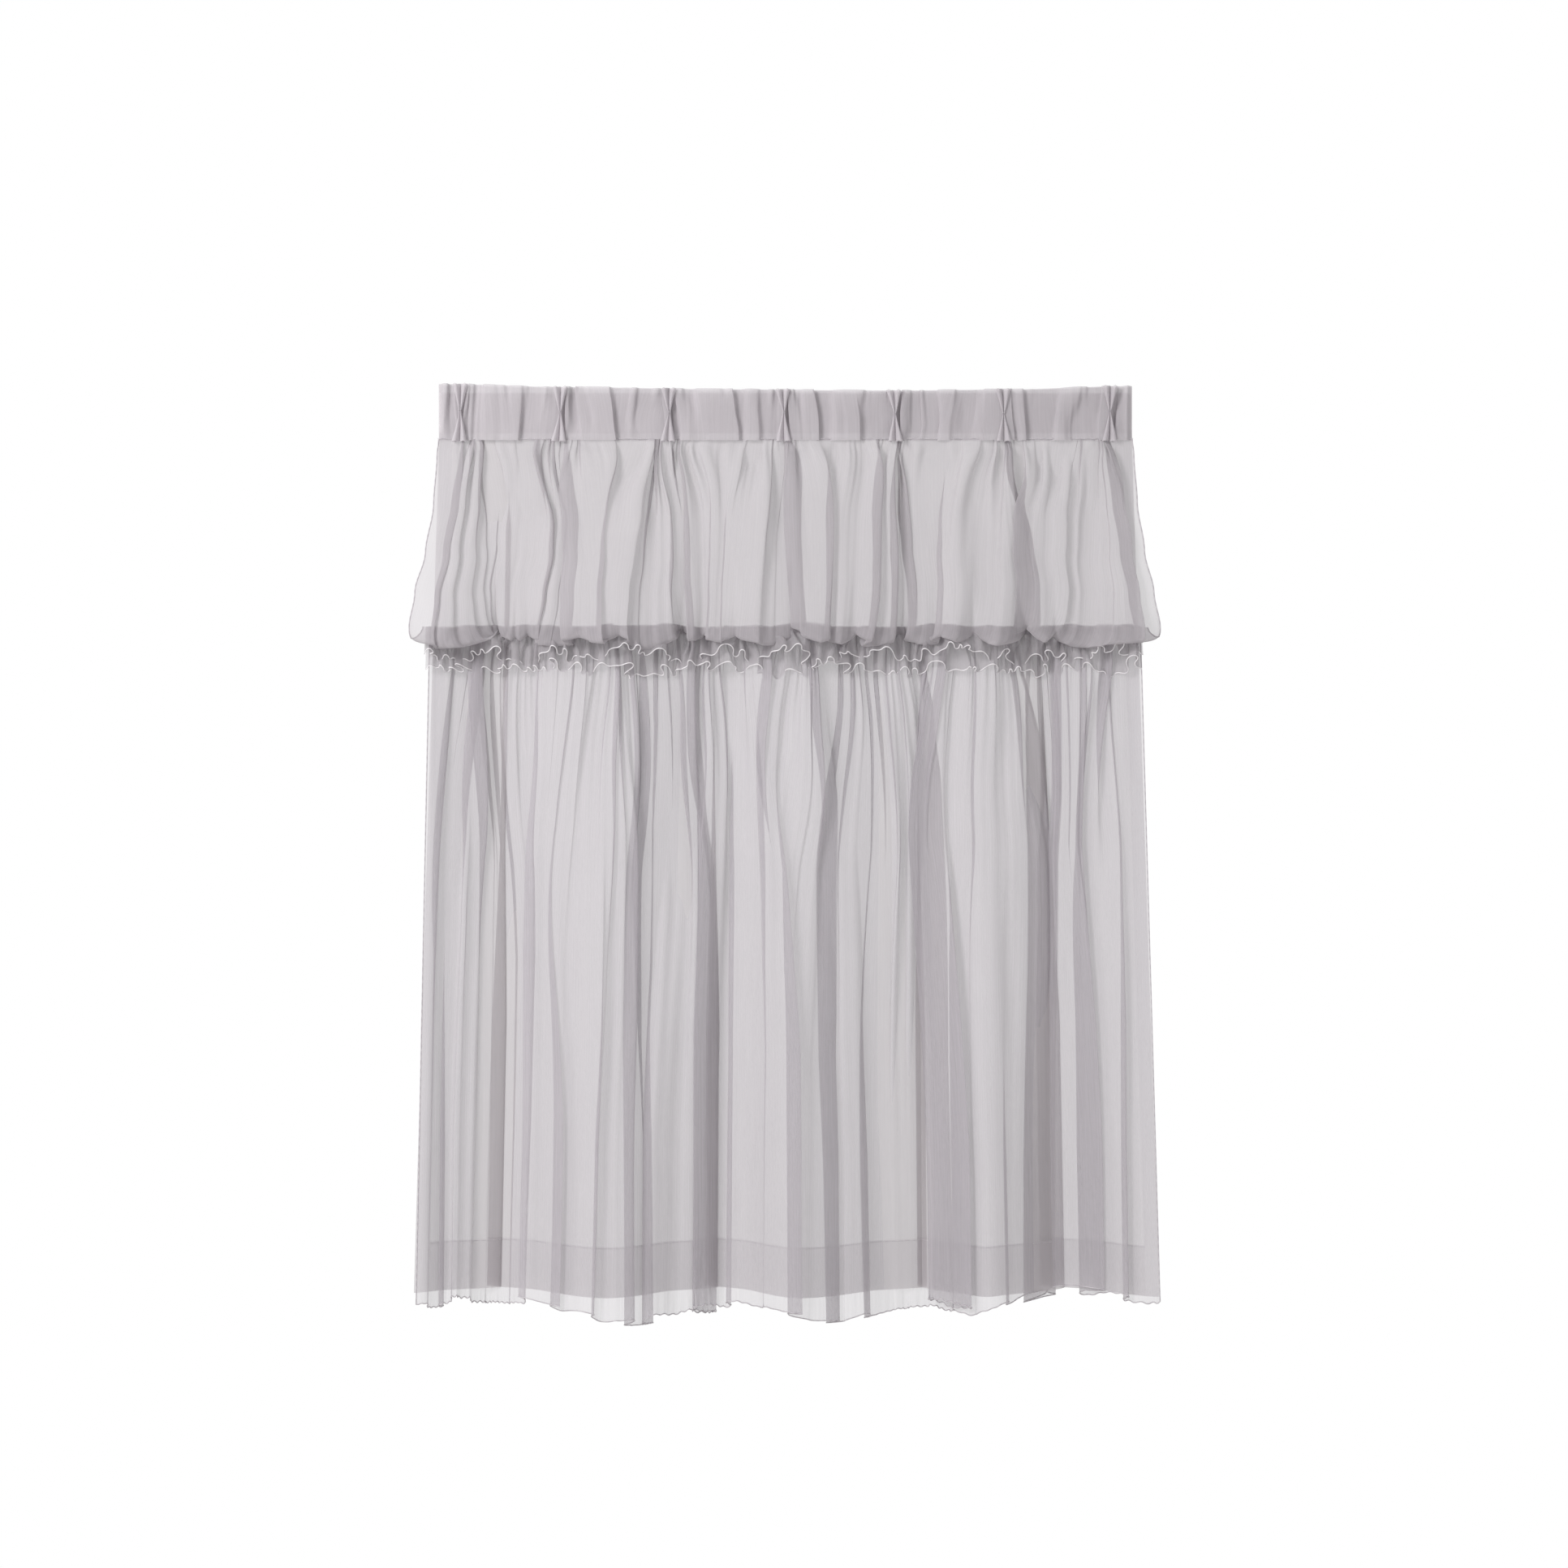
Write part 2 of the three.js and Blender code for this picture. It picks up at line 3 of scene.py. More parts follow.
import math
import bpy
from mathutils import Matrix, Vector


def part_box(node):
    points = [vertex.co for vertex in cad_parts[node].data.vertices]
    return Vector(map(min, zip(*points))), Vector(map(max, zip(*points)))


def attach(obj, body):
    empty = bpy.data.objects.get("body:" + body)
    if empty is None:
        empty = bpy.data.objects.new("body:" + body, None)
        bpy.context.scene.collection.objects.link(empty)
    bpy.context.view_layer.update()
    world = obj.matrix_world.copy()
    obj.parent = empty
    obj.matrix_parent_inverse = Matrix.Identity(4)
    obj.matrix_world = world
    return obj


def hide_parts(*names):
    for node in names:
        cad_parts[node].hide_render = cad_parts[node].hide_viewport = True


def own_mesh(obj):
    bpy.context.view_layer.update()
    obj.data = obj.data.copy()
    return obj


bl_info = {
    "name": "Pinch-pleated sheer curtain",
    "version": (1, 0, 0),
    "blender": (4, 5, 0),
    "location": "3D View > Sidebar > Curtain",
    "description": "Makes the cloth, finishes and studio of a sheer curtain with a balloon valance",
    "category": "Add Mesh",
}

import bpy
import numpy as np
from mathutils import Matrix, Vector

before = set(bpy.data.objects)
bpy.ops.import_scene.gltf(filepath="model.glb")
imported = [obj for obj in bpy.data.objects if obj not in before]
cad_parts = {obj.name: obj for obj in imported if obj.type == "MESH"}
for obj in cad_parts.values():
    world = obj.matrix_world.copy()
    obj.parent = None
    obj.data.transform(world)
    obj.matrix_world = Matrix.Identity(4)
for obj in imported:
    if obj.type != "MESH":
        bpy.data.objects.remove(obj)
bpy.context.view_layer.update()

# ---- Sizes read from the frame, in metres ----
MM = 0.001
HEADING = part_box("heading_band")
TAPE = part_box("heading_tape")
HALF = HEADING[1][0]
HEADING_TOP = HEADING[1][2]
HEADING_BOTTOM = HEADING[0][2]
CLOTH_OUT = -HEADING[1][1]
BAND_OUT = -HEADING[0][1]
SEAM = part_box("sheer_skirt")[1][2]
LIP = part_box("balloon_valance")[0][2]
PUFF_OUT = -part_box("balloon_valance")[0][1]
LINING_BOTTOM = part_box("lining_hem")[0][2]
LINING_HEM_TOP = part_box("lining_hem")[1][2]
LINING_TOP = HEADING_BOTTOM + 12 * MM  # it runs up behind the heading
SIDE_HEM = 18 * MM
SKIRT_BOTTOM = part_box("sheer_skirt_edging")[0][2]
FRILL_BOTTOM = {which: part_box(which + "_frill_edging")[0][2] for which in ("upper", "lower")}
PLEATS = range(1, 8)
PLEAT_X = [(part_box(f"pinch_pleat_{i}")[0][0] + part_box(f"pinch_pleat_{i}")[1][0]) / 2 for i in PLEATS]

# ---- How the cloth hangs, in metres ----
# Crests and hollows of the big folds, from left to right: (place across, about 1 forward to -1 back).
BIG_FOLDS = (
    (-0.56, 0.3), (-0.425, -1.0), (-0.255, 1.0), (-0.1, -1.0), (0.02, 1.0),
    (0.205, -1.0), (0.287, 0.8), (0.39, -1.1), (0.54, 0.8), (0.6, 0.5),
)
# Where the lining folds over itself, from left to right: (place across, how far it doubles back, half
# width, share of it at the top).
LINING_TUCKS = (
    (-0.425, 0.042, 0.07, 0.75),
    (-0.108, 0.036, 0.06, 0.0),
    (0.2, 0.036, 0.07, 0.0),
    (0.39, 0.052, 0.075, 0.15),
)
FOLD_DEPTH = (0.6 * MM, 40 * MM)  # at the heading and at the lining's hem
FLARE = 0.07  # how much wider the cloth hangs at the lining's hem than at the heading


def srgb(text):
    """An sRGB hex colour as linear red, green, blue and full alpha."""
    parts = [int(text[i : i + 2], 16) / 255 for i in (0, 2, 4)]
    return (*[c / 12.92 if c <= 0.04045 else ((c + 0.055) / 1.055) ** 2.4 for c in parts], 1.0)


# ---- Meshes ----
def new_piece(name, mesh, material=None):
    """A mesh as an object in the scene, with its material if it is given one."""
    piece = bpy.data.objects.new(name, mesh)
    bpy.context.scene.collection.objects.link(piece)
    if material:
        mesh.materials.append(material)
    return piece


def sheet_mesh(name, points, uv):
    """A smooth sheet through a grid of points, rows from the top down and columns from left to right."""
    rows, columns = points.shape[:2]
    corner = (np.arange(rows - 1)[:, None] * columns + np.arange(columns - 1)).ravel()
    faces = np.stack([corner, corner + columns, corner + columns + 1, corner + 1], axis=1)
    mesh = bpy.data.meshes.new(name)
    mesh.vertices.add(rows * columns)
    mesh.vertices.foreach_set("co", points.reshape(-1))
    mesh.loops.add(faces.size)
    mesh.loops.foreach_set("vertex_index", faces.ravel())
    mesh.polygons.add(len(faces))
    mesh.polygons.foreach_set("loop_start", np.arange(len(faces)) * 4)
    layer = mesh.uv_layers.new(name="cloth")
    layer.data.foreach_set("uv", uv.reshape(-1, 2)[faces.ravel()].ravel())
    mesh.polygons.foreach_set("use_smooth", np.ones(len(faces), bool))
    mesh.update(calc_edges=True)
    mesh.validate()
    return mesh


def stack(x, y, z):
    """Places across, in depth and in height as one grid of points."""
    return np.stack(np.broadcast_arrays(x, y, z), axis=-1).astype(float)


def cloth_uv(flat_across, flat_down):
    """UVs in metres of the flat cloth, so that a weave keeps its size wherever the cloth is gathered."""
    u, v = np.broadcast_arrays(flat_across[None, :], flat_down[:, None])
    return np.stack([u, v], axis=-1)


def ease(x, points):
    """A smooth curve through (place, height) points."""
    place, height = np.array(points).T
    at = np.clip(np.searchsorted(place, x) - 1, 0, len(place) - 2)
    share = np.clip((x - place[at]) / (place[at + 1] - place[at]), 0, 1)
    share = share * share * (3 - 2 * share)
    return height[at] + (height[at + 1] - height[at]) * share


def blur(rows, columns):
    """Rows of numbers, averaged over about that many columns."""
    reach = int(3 * columns)
    kernel = np.exp(-0.5 * (np.arange(-reach, reach + 1) / columns) ** 2)
    padded = np.pad(rows, ((0, 0), (reach, reach)), mode="reflect", reflect_type="odd")
    return np.array([np.convolve(row, kernel / kernel.sum(), "valid") for row in padded])


def fallen(z):
    """How far down a height is: 0 at the heading's foot, 1 at the lining's bottom, at most 1.1."""
    return np.clip((HEADING_BOTTOM - z) / (HEADING_BOTTOM - LINING_BOTTOM), 0, 1.1)


def big_fold(x, z):
    """How far the big folds bring the cloth forward at a place."""
    down = fallen(z)
    depth = FOLD_DEPTH[0] + (FOLD_DEPTH[1] - FOLD_DEPTH[0]) * down
    return depth * ease(x / (1 + FLARE * down) * (1 + FLARE), BIG_FOLDS)


# ---- Folds ----
def uneven_cells(flat, pitch, uneven, rng):
    """The edges of cells of uneven length along the flat cloth."""
    count = max(2, round(flat / pitch))
    lengths = np.clip(rng.normal(1, uneven, count), 0.42, 2.2)
    return count, np.concatenate([[0], np.cumsum(lengths)]) / lengths.sum() * flat


def drifting(u, v, wander, rng):
    """The flat cloth's places, pushed to and fro so that folds lean as they fall."""
    sway = rng.uniform(0, 2 * math.pi, 3)
    drift = np.sin(1.5 * v + 4.5 * u + sway[0]) + 0.35 * np.sin(3.1 * v + 10 * u + sway[1])
    return np.clip(u + wander * drift, u.min(), u.max() * 0.99999)


def round_folds(u, v, pitch, rng, wander=0.0, uneven=0.35):
    """A row of uneven rounded folds along the flat cloth, each with its own strength."""
    count, edges = uneven_cells(float(u.max()), pitch, uneven, rng)
    strengths = np.clip(rng.normal(1, 0.35, count + 1), 0.3, 1.8)
    place = drifting(u, v, wander, rng)
    phase = 2 * math.pi * np.interp(place, edges, np.arange(count + 1))
    return np.interp(place, edges, strengths) * np.sin(phase)


def knife_folds(u, v, pitch, rng, wander=0.0, uneven=0.4, narrow=0.17, begins=(-0.4, 0.0)):
    """Folds that double back over themselves, to the left or the right. Each begins at its own height, and
    swells and thins as it falls."""
    count, edges = uneven_cells(float(u.max()), pitch, uneven, rng)
    strengths = np.clip(rng.normal(1, 0.35, count), 0.35, 1.7) * rng.choice([-1, 1], count)
    widths = narrow * rng.uniform(0.6, 1.35, count)
    start = rng.uniform(*begins, count)
    swell = rng.uniform(1.5, 5, count)
    turn = rng.uniform(0, 6.3, count)
    place = drifting(u, v, wander, rng)
    cell = np.clip(np.searchsorted(edges, place, side="right") - 1, 0, count - 1)
    share = (place - edges[cell]) / (edges[cell + 1] - edges[cell])
    grown = np.clip((v - start[cell]) / 0.45, 0, 1) * (1 + 0.14 * np.sin(swell[cell] * v + turn[cell]))
    return strengths[cell] * grown * np.exp(-(((share - 0.5) / widths[cell]) ** 2))


LEAN = 2.6  # the furthest that folded cloth turns from straight across, in radians
STRONGEST = 12.0  # the most that a row's folds may be strengthened to fit its width
HALVINGS = 24  # steps taken to find that strength
EDGE_CALM = 0.03  # within this of a side edge, the loose folds die away


def gather(pattern, step, widths):
    """Bends flat cloth into folds that turn as the pattern says, just enough to fit each row's width."""
    low = np.zeros(len(pattern))
    high = np.full(len(pattern), STRONGEST)

    def turned(strength):
        """Which way the cloth faces at each place, when its row's folds are that strong."""
        return LEAN * np.tanh(pattern * strength[:, None] / LEAN)

    for _ in range(HALVINGS):
        middle = (low + high) / 2
        too_wide = np.cos(turned(middle)).sum(1) * step > widths
        low, high = np.where(too_wide, middle, low), np.where(too_wide, high, middle)
    turn = turned((low + high) / 2)
    return np.cumsum(np.cos(turn), axis=1) * step, np.cumsum(np.sin(turn), axis=1) * step


def crowded(u_share, crowds, rows):
    """Where each share of the flat cloth hangs, from 0 to 1. Each crowd is a place, how much more of the
    cloth is there, how wide it is, and its strength in each row."""
    x = np.linspace(0, 1, 1601)
    density = np.ones((rows, len(x)))
    for place, strength, width, weight in crowds:
        density += strength * np.asarray(weight)[:, None] * np.exp(-0.5 * ((x - place) / width) ** 2)
    used = np.cumsum(density, axis=1) - density / 2
    used = (used - used[:, :1]) / (used[:, -1:] - used[:, :1])
    return np.array([np.interp(u_share, row, x) for row in used])


def gathered(pattern, u, left, right, crowds=(), hold=0.09, flatten=1.0):
    """Places across and in front for gathered cloth: its folds, held between its left and right edges."""
    step = u[1] - u[0]
    across, out = gather(pattern, step, right - left)
    even = left[:, None] + (right - left)[:, None] * crowded(u / u[-1], crowds, len(pattern))
    columns = hold / step
    loose = across - blur(across, columns)
    front = (out - blur(out, columns)) * flatten
    tame = np.clip(np.minimum(u, u[-1] - u) / EDGE_CALM, 0, 1)
    return even + loose * tame, front


def turned_back(x, left, right):
    """Cloth that would pass its side edges folds back inside them."""
    return np.where(x < (left + right) / 2, left + np.abs(x - left), right - np.abs(right - x))


# ---- Materials ----
WEAVE_PITCH = 0.7 * MM  # the real weave is about 0.3 mm, and it is drawn coarser so that it shows
STREAKS = (420, 9, 1)  # per metre across and along the cloth: streaks about 2 mm wide and 110 mm long
GLANCE = 0.3  # how much more light voile stops where it is seen at a slant
TAPE_RIBS = 2 * MM  # the real ribs are about 1 mm apart, and they are drawn coarser so that they show
TWIST_SCALE = 50.0  # bands about 12 mm apart along a thread, far coarser than its real twist


def add(tree, kind, at, settings=None, links=None):
    """Adds a node, with its settings (sockets by name or index, or properties) and the links into it."""
    node = tree.nodes.new(kind)
    node.location = at
    for key, value in (settings or {}).items():
        if isinstance(key, str) and hasattr(node, key):
            setattr(node, key, value)
        else:
            node.inputs[key].default_value = value
    for key, source in (links or {}).items():
        tree.links.new(source, node.inputs[key])
    return node


def new_material(name):
    """An empty material and its node tree."""
    material = bpy.data.materials.new(name)
    material.use_nodes = True
    material.node_tree.nodes.clear()
    return material, material.node_tree


def two_tones(tree, at, tones, share):
    """A colour between two tones."""
    return add(tree, "ShaderNodeMix", at, {"data_type": "RGBA", 6: srgb(tones[0]), 7: srgb(tones[1])},
               {"Factor": share})


def relief(tree, at, strength, distance, height):
    """A bump that roughens the surface by that distance."""
    return add(tree, "ShaderNodeBump", at, {"Strength": strength, "Distance": distance}, {"Height": height})


def bands_apart(pitch):
    """The scale at which a wave texture's bands are that far apart."""
    return math.pi / 10 / pitch


def voile(name, colour, cover, slub=0.3, sheen=0.25):
    """Woven polyester voile: fine threads with gaps between, so what is behind it shows through. Its uneven
    threads make faint streaks along the cloth, and it stops more light where it is seen at a slant."""
    material, tree = new_material(name)
    place = add(tree, "ShaderNodeUVMap", (-1300, 0), {"uv_map": "cloth"}).outputs[0]
    streaks = add(tree, "ShaderNodeMapping", (-1100, 200), {"Scale": STREAKS}, {"Vector": place})
    slubs = add(tree, "ShaderNodeTexNoise", (-900, 200), {"Scale": 1.0, "Detail": 4.0, "Roughness": 0.65},
                {"Vector": streaks.outputs[0]})
    cloud = add(tree, "ShaderNodeTexNoise", (-900, -50), {"Scale": 14.0, "Detail": 2.0}, {"Vector": place})
    threads = []
    for direction, y in (("X", -300), ("Y", -550)):
        threads.append(add(tree, "ShaderNodeTexWave", (-900, y),
                           {"wave_type": "BANDS", "bands_direction": direction,
                            "Scale": bands_apart(WEAVE_PITCH), "Distortion": 0.4},
                           {"Vector": place}))
    grid = add(tree, "ShaderNodeMath", (-650, -400), {"operation": "ADD"},
               {0: threads[0].outputs["Fac"], 1: threads[1].outputs["Fac"]})
    uneven = add(tree, "ShaderNodeMath", (-650, 150),
                 {"operation": "MULTIPLY_ADD", 1: slub, 2: cover - slub / 2}, {0: slubs.outputs["Fac"]})
    woven = add(tree, "ShaderNodeMath", (-450, 0), {"operation": "MULTIPLY_ADD", 1: 0.03, 2: -0.03},
                {0: grid.outputs[0]})
    covered = add(tree, "ShaderNodeMath", (-250, 100), {"operation": "ADD", "use_clamp": True},
                  {0: uneven.outputs[0], 1: woven.outputs[0]})
    edge = add(tree, "ShaderNodeLayerWeight", (-650, 400), {"Blend": 0.35})
    slanted = add(tree, "ShaderNodeMath", (-450, 400), {"operation": "MULTIPLY", 1: GLANCE},
                  {0: edge.outputs["Facing"]})
    seen = add(tree, "ShaderNodeMath", (-50, 200), {"operation": "ADD", "use_clamp": True},
               {0: covered.outputs[0], 1: slanted.outputs[0]})
    tone = two_tones(tree, (-450, -200), colour, cloud.outputs["Fac"])
    bump = relief(tree, (-250, -350), 0.15, 0.4 * MM, grid.outputs[0])
    cloth = add(tree, "ShaderNodeBsdfPrincipled", (-50, -100),
                {"Roughness": 0.85, "Sheen Weight": sheen, "Sheen Roughness": 0.5,
                 "Specular IOR Level": 0.2},
                {"Base Color": tone.outputs[2], "Normal": bump.outputs[0]})
    glow = add(tree, "ShaderNodeBsdfTranslucent", (-50, -450), {}, {"Color": tone.outputs[2]})
    lit = add(tree, "ShaderNodeMixShader", (250, -200), {0: 0.3},
              {1: cloth.outputs[0], 2: glow.outputs[0]})
    gap = add(tree, "ShaderNodeBsdfTransparent", (250, 100))
    mixed = add(tree, "ShaderNodeMixShader", (450, 0), {},
                {0: seen.outputs[0], 1: gap.outputs[0], 2: lit.outputs[0]})
    add(tree, "ShaderNodeOutputMaterial", (650, 0), {}, {"Surface": mixed.outputs[0]})
    return material


def woven_tape():
    """Woven polyester pleating tape: opaque white with raised ribs."""
    material, tree = new_material("woven polyester tape")
    place = add(tree, "ShaderNodeUVMap", (-900, 0), {"uv_map": "cloth"}).outputs[0]
    ribs = add(tree, "ShaderNodeTexWave", (-700, 0),
               {"bands_direction": "X", "Scale": bands_apart(TAPE_RIBS), "Distortion": 0.5},
               {"Vector": place})
    tone = two_tones(tree, (-450, 100), ("e2dfde", "f0eeed"), ribs.outputs["Fac"])
    bump = relief(tree, (-450, -200), 0.5, 0.5 * MM, ribs.outputs["Fac"])
    cloth = add(tree, "ShaderNodeBsdfPrincipled", (-200, 0), {"Roughness": 0.9, "Sheen Weight": 0.2},
                {"Base Color": tone.outputs[2], "Normal": bump.outputs[0]})
    add(tree, "ShaderNodeOutputMaterial", (100, 0), {}, {"Surface": cloth.outputs[0]})
    return material


def spun_thread(name, colour):
    """Polyester thread, twisted: a soft sheen, with a slow change of tone along it."""
    material, tree = new_material(name)
    place = add(tree, "ShaderNodeTexCoord", (-900, 0)).outputs["Object"]
    twist = add(tree, "ShaderNodeTexWave", (-700, 0), {"bands_direction": "DIAGONAL", "Scale": TWIST_SCALE},
                {"Vector": place})
    tone = two_tones(tree, (-450, 100), colour, twist.outputs["Fac"])
    bump = relief(tree, (-450, -200), 0.4, 0.2 * MM, twist.outputs["Fac"])
    thread = add(tree, "ShaderNodeBsdfPrincipled", (-200, 0), {"Roughness": 0.6, "Sheen Weight": 0.3},
                 {"Base Color": tone.outputs[2], "Normal": bump.outputs[0]})
    add(tree, "ShaderNodeOutputMaterial", (100, 0), {}, {"Surface": thread.outputs[0]})
    return material


def hard_finish(name, colours, metallic, roughness, grain, scale):
    """A hard surface whose colour, roughness and bump vary a little with one noise."""
    material, tree = new_material(name)
    place = add(tree, "ShaderNodeTexCoord", (-1000, 0)).outputs["Object"]
    speck = add(tree, "ShaderNodeTexNoise", (-800, 0), {"Scale": scale, "Detail": 5.0},
                {"Vector": place}).outputs["Fac"]
    tone = two_tones(tree, (-550, 150), colours, speck)
    rough = add(tree, "ShaderNodeMapRange", (-550, -100), {"To Min": roughness[0], "To Max": roughness[1]},
                {"Value": speck})
    bump = relief(tree, (-550, -400), grain, 0.2 * MM, speck)
    shade = add(tree, "ShaderNodeBsdfPrincipled", (-200, 0), {"Metallic": metallic},
                {"Base Color": tone.outputs[2], "Roughness": rough.outputs[0], "Normal": bump.outputs[0]})
    add(tree, "ShaderNodeOutputMaterial", (100, 0), {}, {"Surface": shade.outputs[0]})
    return material


MATERIALS = {}


def finish(name):
    """The finish of that name, made the first time it is asked for."""
    if name in MATERIALS:
        return MATERIALS[name]
    settings = bpy.context.scene.curtain_cloth
    sheer, lining = settings.sheer_cover, settings.lining_cover
    makers = {
        # One layer lets more than half of the light through, so its doubled folds stand out as dark bands.
        "sheer": lambda: voile("polyester voile, woven and dyed", ("bab5ba", "c0bbc0"), sheer),
        # Smoother and a little closer than the sheer: the even ground that the folds are seen against.
        "lining": lambda: voile("polyester voile lining, woven", ("bcb7ba", "c3bdbf"), lining, 0.12),
        # Two layers of lining: a darker band along its foot.
        "hem": lambda: voile(
            "polyester voile lining, hemmed double", ("b9b3b7", "beb8bb"), 1 - (1 - lining) ** 1.45, 0.08),
        # A narrow turned-in strip, only a shade darker than the lining beside it.
        "side hem": lambda: voile(
            "polyester voile lining, turned in", ("b4aeb2", "bab4b8"), 1 - (1 - lining) ** 1.15, 0.1),
        # The same sheer, crumpled by its puff, so a little less shows through it.
        "valance": lambda: voile("polyester voile, puffed", ("b7b2b6", "bfbabe"), sheer + 0.1, 0.22),
        # Drawn up close over the stiffener: hardly see-through, matt, and uneven in tone.
        "heading": lambda: voile("polyester voile, shirred", ("bcb7bb", "cac5c9"), 0.7, 0.24, sheen=0.1),
        # A flat, even and paler ground that shows between the heading's wrinkles.
        "buckram": lambda: voile("polyester buckram, bonded", ("d2cdd1", "d8d3d7"), 0.66, 0.06, sheen=0.05),
        # Two layers pinched together, and painted paler than the sheer: a painted highlight on the pleats'
        # lobes, so that the pleats stand out of the heading.
        "pleat": lambda: voile("polyester voile, pleated double, painted highlight", ("cbc6ca", "d5d0d4"), 0.64, 0.2),
        # The same sheer painted darker: painted shade for the frills under the balloon's overhang, so that
        # its loops make deep tones where they cross.
        "frill": lambda: voile("polyester voile, crimped, painted shade", ("aaa5a9", "b6b1b5"), 0.45, 0.12),
        # Opaque white behind the see-through cloth, ribbed when seen near.
        "tape": woven_tape,
        # A pale line that draws the frills' curled edges.
        "thread": lambda: spun_thread("polyester overlock thread", ("cbc7ca", "dad6d9")),
        # A grey line, a shade darker than the sheer, along its other edges.
        "edge": lambda: spun_thread("polyester edging thread", ("a39da2", "b5b0b4")),
        # Fine grey dashes where the cloth is sewn.
        "stitch": lambda: spun_thread("polyester sewing thread", ("a8a2a8", "bdb8bc")),
        # Warm white paint with a fine, slightly pitted skin and soft highlights.
        "coated": lambda: hard_finish(
            "steel, powder coated white", ("e6e4df", "f1efeb"), 0.0, (0.38, 0.5), 0.25, 900),
        # Bright cool grey metal with uneven, fairly sharp reflections.
        "zinc": lambda: hard_finish(
            "steel, bright zinc plated", ("b4b7ba", "cdcfd1"), 1.0, (0.22, 0.38), 0.08, 500),
        # Clean white plastic, smoother and a little shinier than the paint.
        "plastic": lambda: hard_finish(
            "acetal, moulded", ("eeeeeb", "f6f6f4"), 0.0, (0.3, 0.42), 0.06, 260),
    }
    MATERIALS[name] = makers[name]()
    return MATERIALS[name]


def cloth_piece(name, points, across, down, look):
    """A sheet of cloth as a piece, with its finish and the places of its flat cloth as UVs."""
    return new_piece(name, sheet_mesh(name, points, cloth_uv(across, down)), finish(look))


# ---- Attaching every piece of cloth to the frame ----
def settle(piece, replaces=(), draws=True, body="rod"):
    """The piece rides on its body, the solids that it replaces are hidden, and unless draws is off it gets
    a mesh of its own.
    """
    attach(piece, body)
    if replaces:
        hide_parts(*replaces)
    if draws:
        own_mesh(piece)


def path_source(name, paths):
    """Bare edges along each row of points, for nodes to build on."""
    mesh = bpy.data.meshes.new(name)
    points = np.concatenate(paths)
    starts = np.cumsum([0] + [len(path) for path in paths])
    edges = [(i, i + 1) for a, b in zip(starts[:-1], starts[1:]) for i in range(a, b - 1)]
    mesh.from_pydata([tuple(point) for point in points], edges, [])
    return new_piece(name + "_path", mesh)


def path_nodes(name, inputs):
    """A node tree with these named inputs, what it is given, and the edges it is given as a curve."""
    tree = bpy.data.node_groups.new(name, "GeometryNodeTree")
    for socket, kind in {"Geometry": "Geometry", **inputs}.items():
        tree.interface.new_socket(socket, in_out="INPUT", socket_type="NodeSocket" + kind)
    tree.interface.new_socket("Geometry", in_out="OUTPUT", socket_type="NodeSocketGeometry")
    given = add(tree, "NodeGroupInput", (-900, 0)).outputs
    curve = add(tree, "GeometryNodeMeshToCurve", (-700, 0), {}, {0: given["Geometry"]}).outputs[0]
    return tree, given, curve


def path_piece(name, paths, radius, material, sides=6):
    """A thread along each row of points, made with Geometry Nodes: a round section swept along a curve."""
    source = path_source(name, paths)
    tree, given, curve = path_nodes(name, {"Radius": "Float", "Sides": "Int"})
    ring = add(tree, "GeometryNodeCurvePrimitiveCircle", (-600, -200), {},
               {"Radius": given["Radius"], "Resolution": given["Sides"]})
    tube = add(tree, "GeometryNodeCurveToMesh", (-350, 0), {"Fill Caps": True},
               {"Curve": curve, "Profile Curve": ring.outputs[0]})
    smooth = add(tree, "GeometryNodeSetShadeSmooth", (-150, 0), {}, {"Geometry": tube.outputs[0]})
    return realised(source, tree, smooth, name, {"Radius": radius, "Sides": sides}, material)


def stitch_piece(name, paths, spacing, length, radius, material):
    """Stitches along each row of points: short threads set at an even spacing and turned along the row."""
    source = path_source(name, paths)
    tree, given, curve = path_nodes(name, {"Spacing": "Float", "Length": "Float", "Radius": "Float"})
    spots = add(tree, "GeometryNodeCurveToPoints", (-500, 0), {"mode": "LENGTH"},
                {"Curve": curve, "Length": given["Spacing"]})
    along = add(tree, "FunctionNodeAlignRotationToVector", (-500, -250), {"axis": "Z"},
                {"Vector": spots.outputs["Tangent"]})
    thread = add(tree, "GeometryNodeMeshCylinder", (-700, -350), {"Vertices": 6},
                 {"Radius": given["Radius"], "Depth": given["Length"]})
    placed = add(tree, "GeometryNodeInstanceOnPoints", (-250, 0), {},
                 {"Points": spots.outputs["Points"], "Instance": thread.outputs["Mesh"],
                  "Rotation": along.outputs[0]})
    values = {"Spacing": spacing, "Length": length, "Radius": radius}
    return realised(source, tree, placed, name, values, material)


def realised(source, tree, last, name, values, material):
    """Ends the node tree after its last shape and gives its result as a plain mesh piece."""
    real = add(tree, "GeometryNodeRealizeInstances", (0, 0), {}, {0: last.outputs[0]})
    dressed = add(tree, "GeometryNodeSetMaterial", (150, 0), {"Material": material}, {0: real.outputs[0]})
    add(tree, "NodeGroupOutput", (350, 0), {}, {0: dressed.outputs[0]})
    modifier = source.modifiers.new("nodes", "NODES")
    modifier.node_group = tree
    for item in tree.interface.items_tree:
        if item.in_out == "INPUT" and item.name in values:
            modifier[item.identifier] = values[item.name]
    depsgraph = bpy.context.evaluated_depsgraph_get()
    mesh = bpy.data.meshes.new_from_object(source.evaluated_get(depsgraph))
    mesh.name = name
    bpy.data.objects.remove(source)
    piece = new_piece(name, mesh)
    if not mesh.materials:
        mesh.materials.append(material)
    return piece


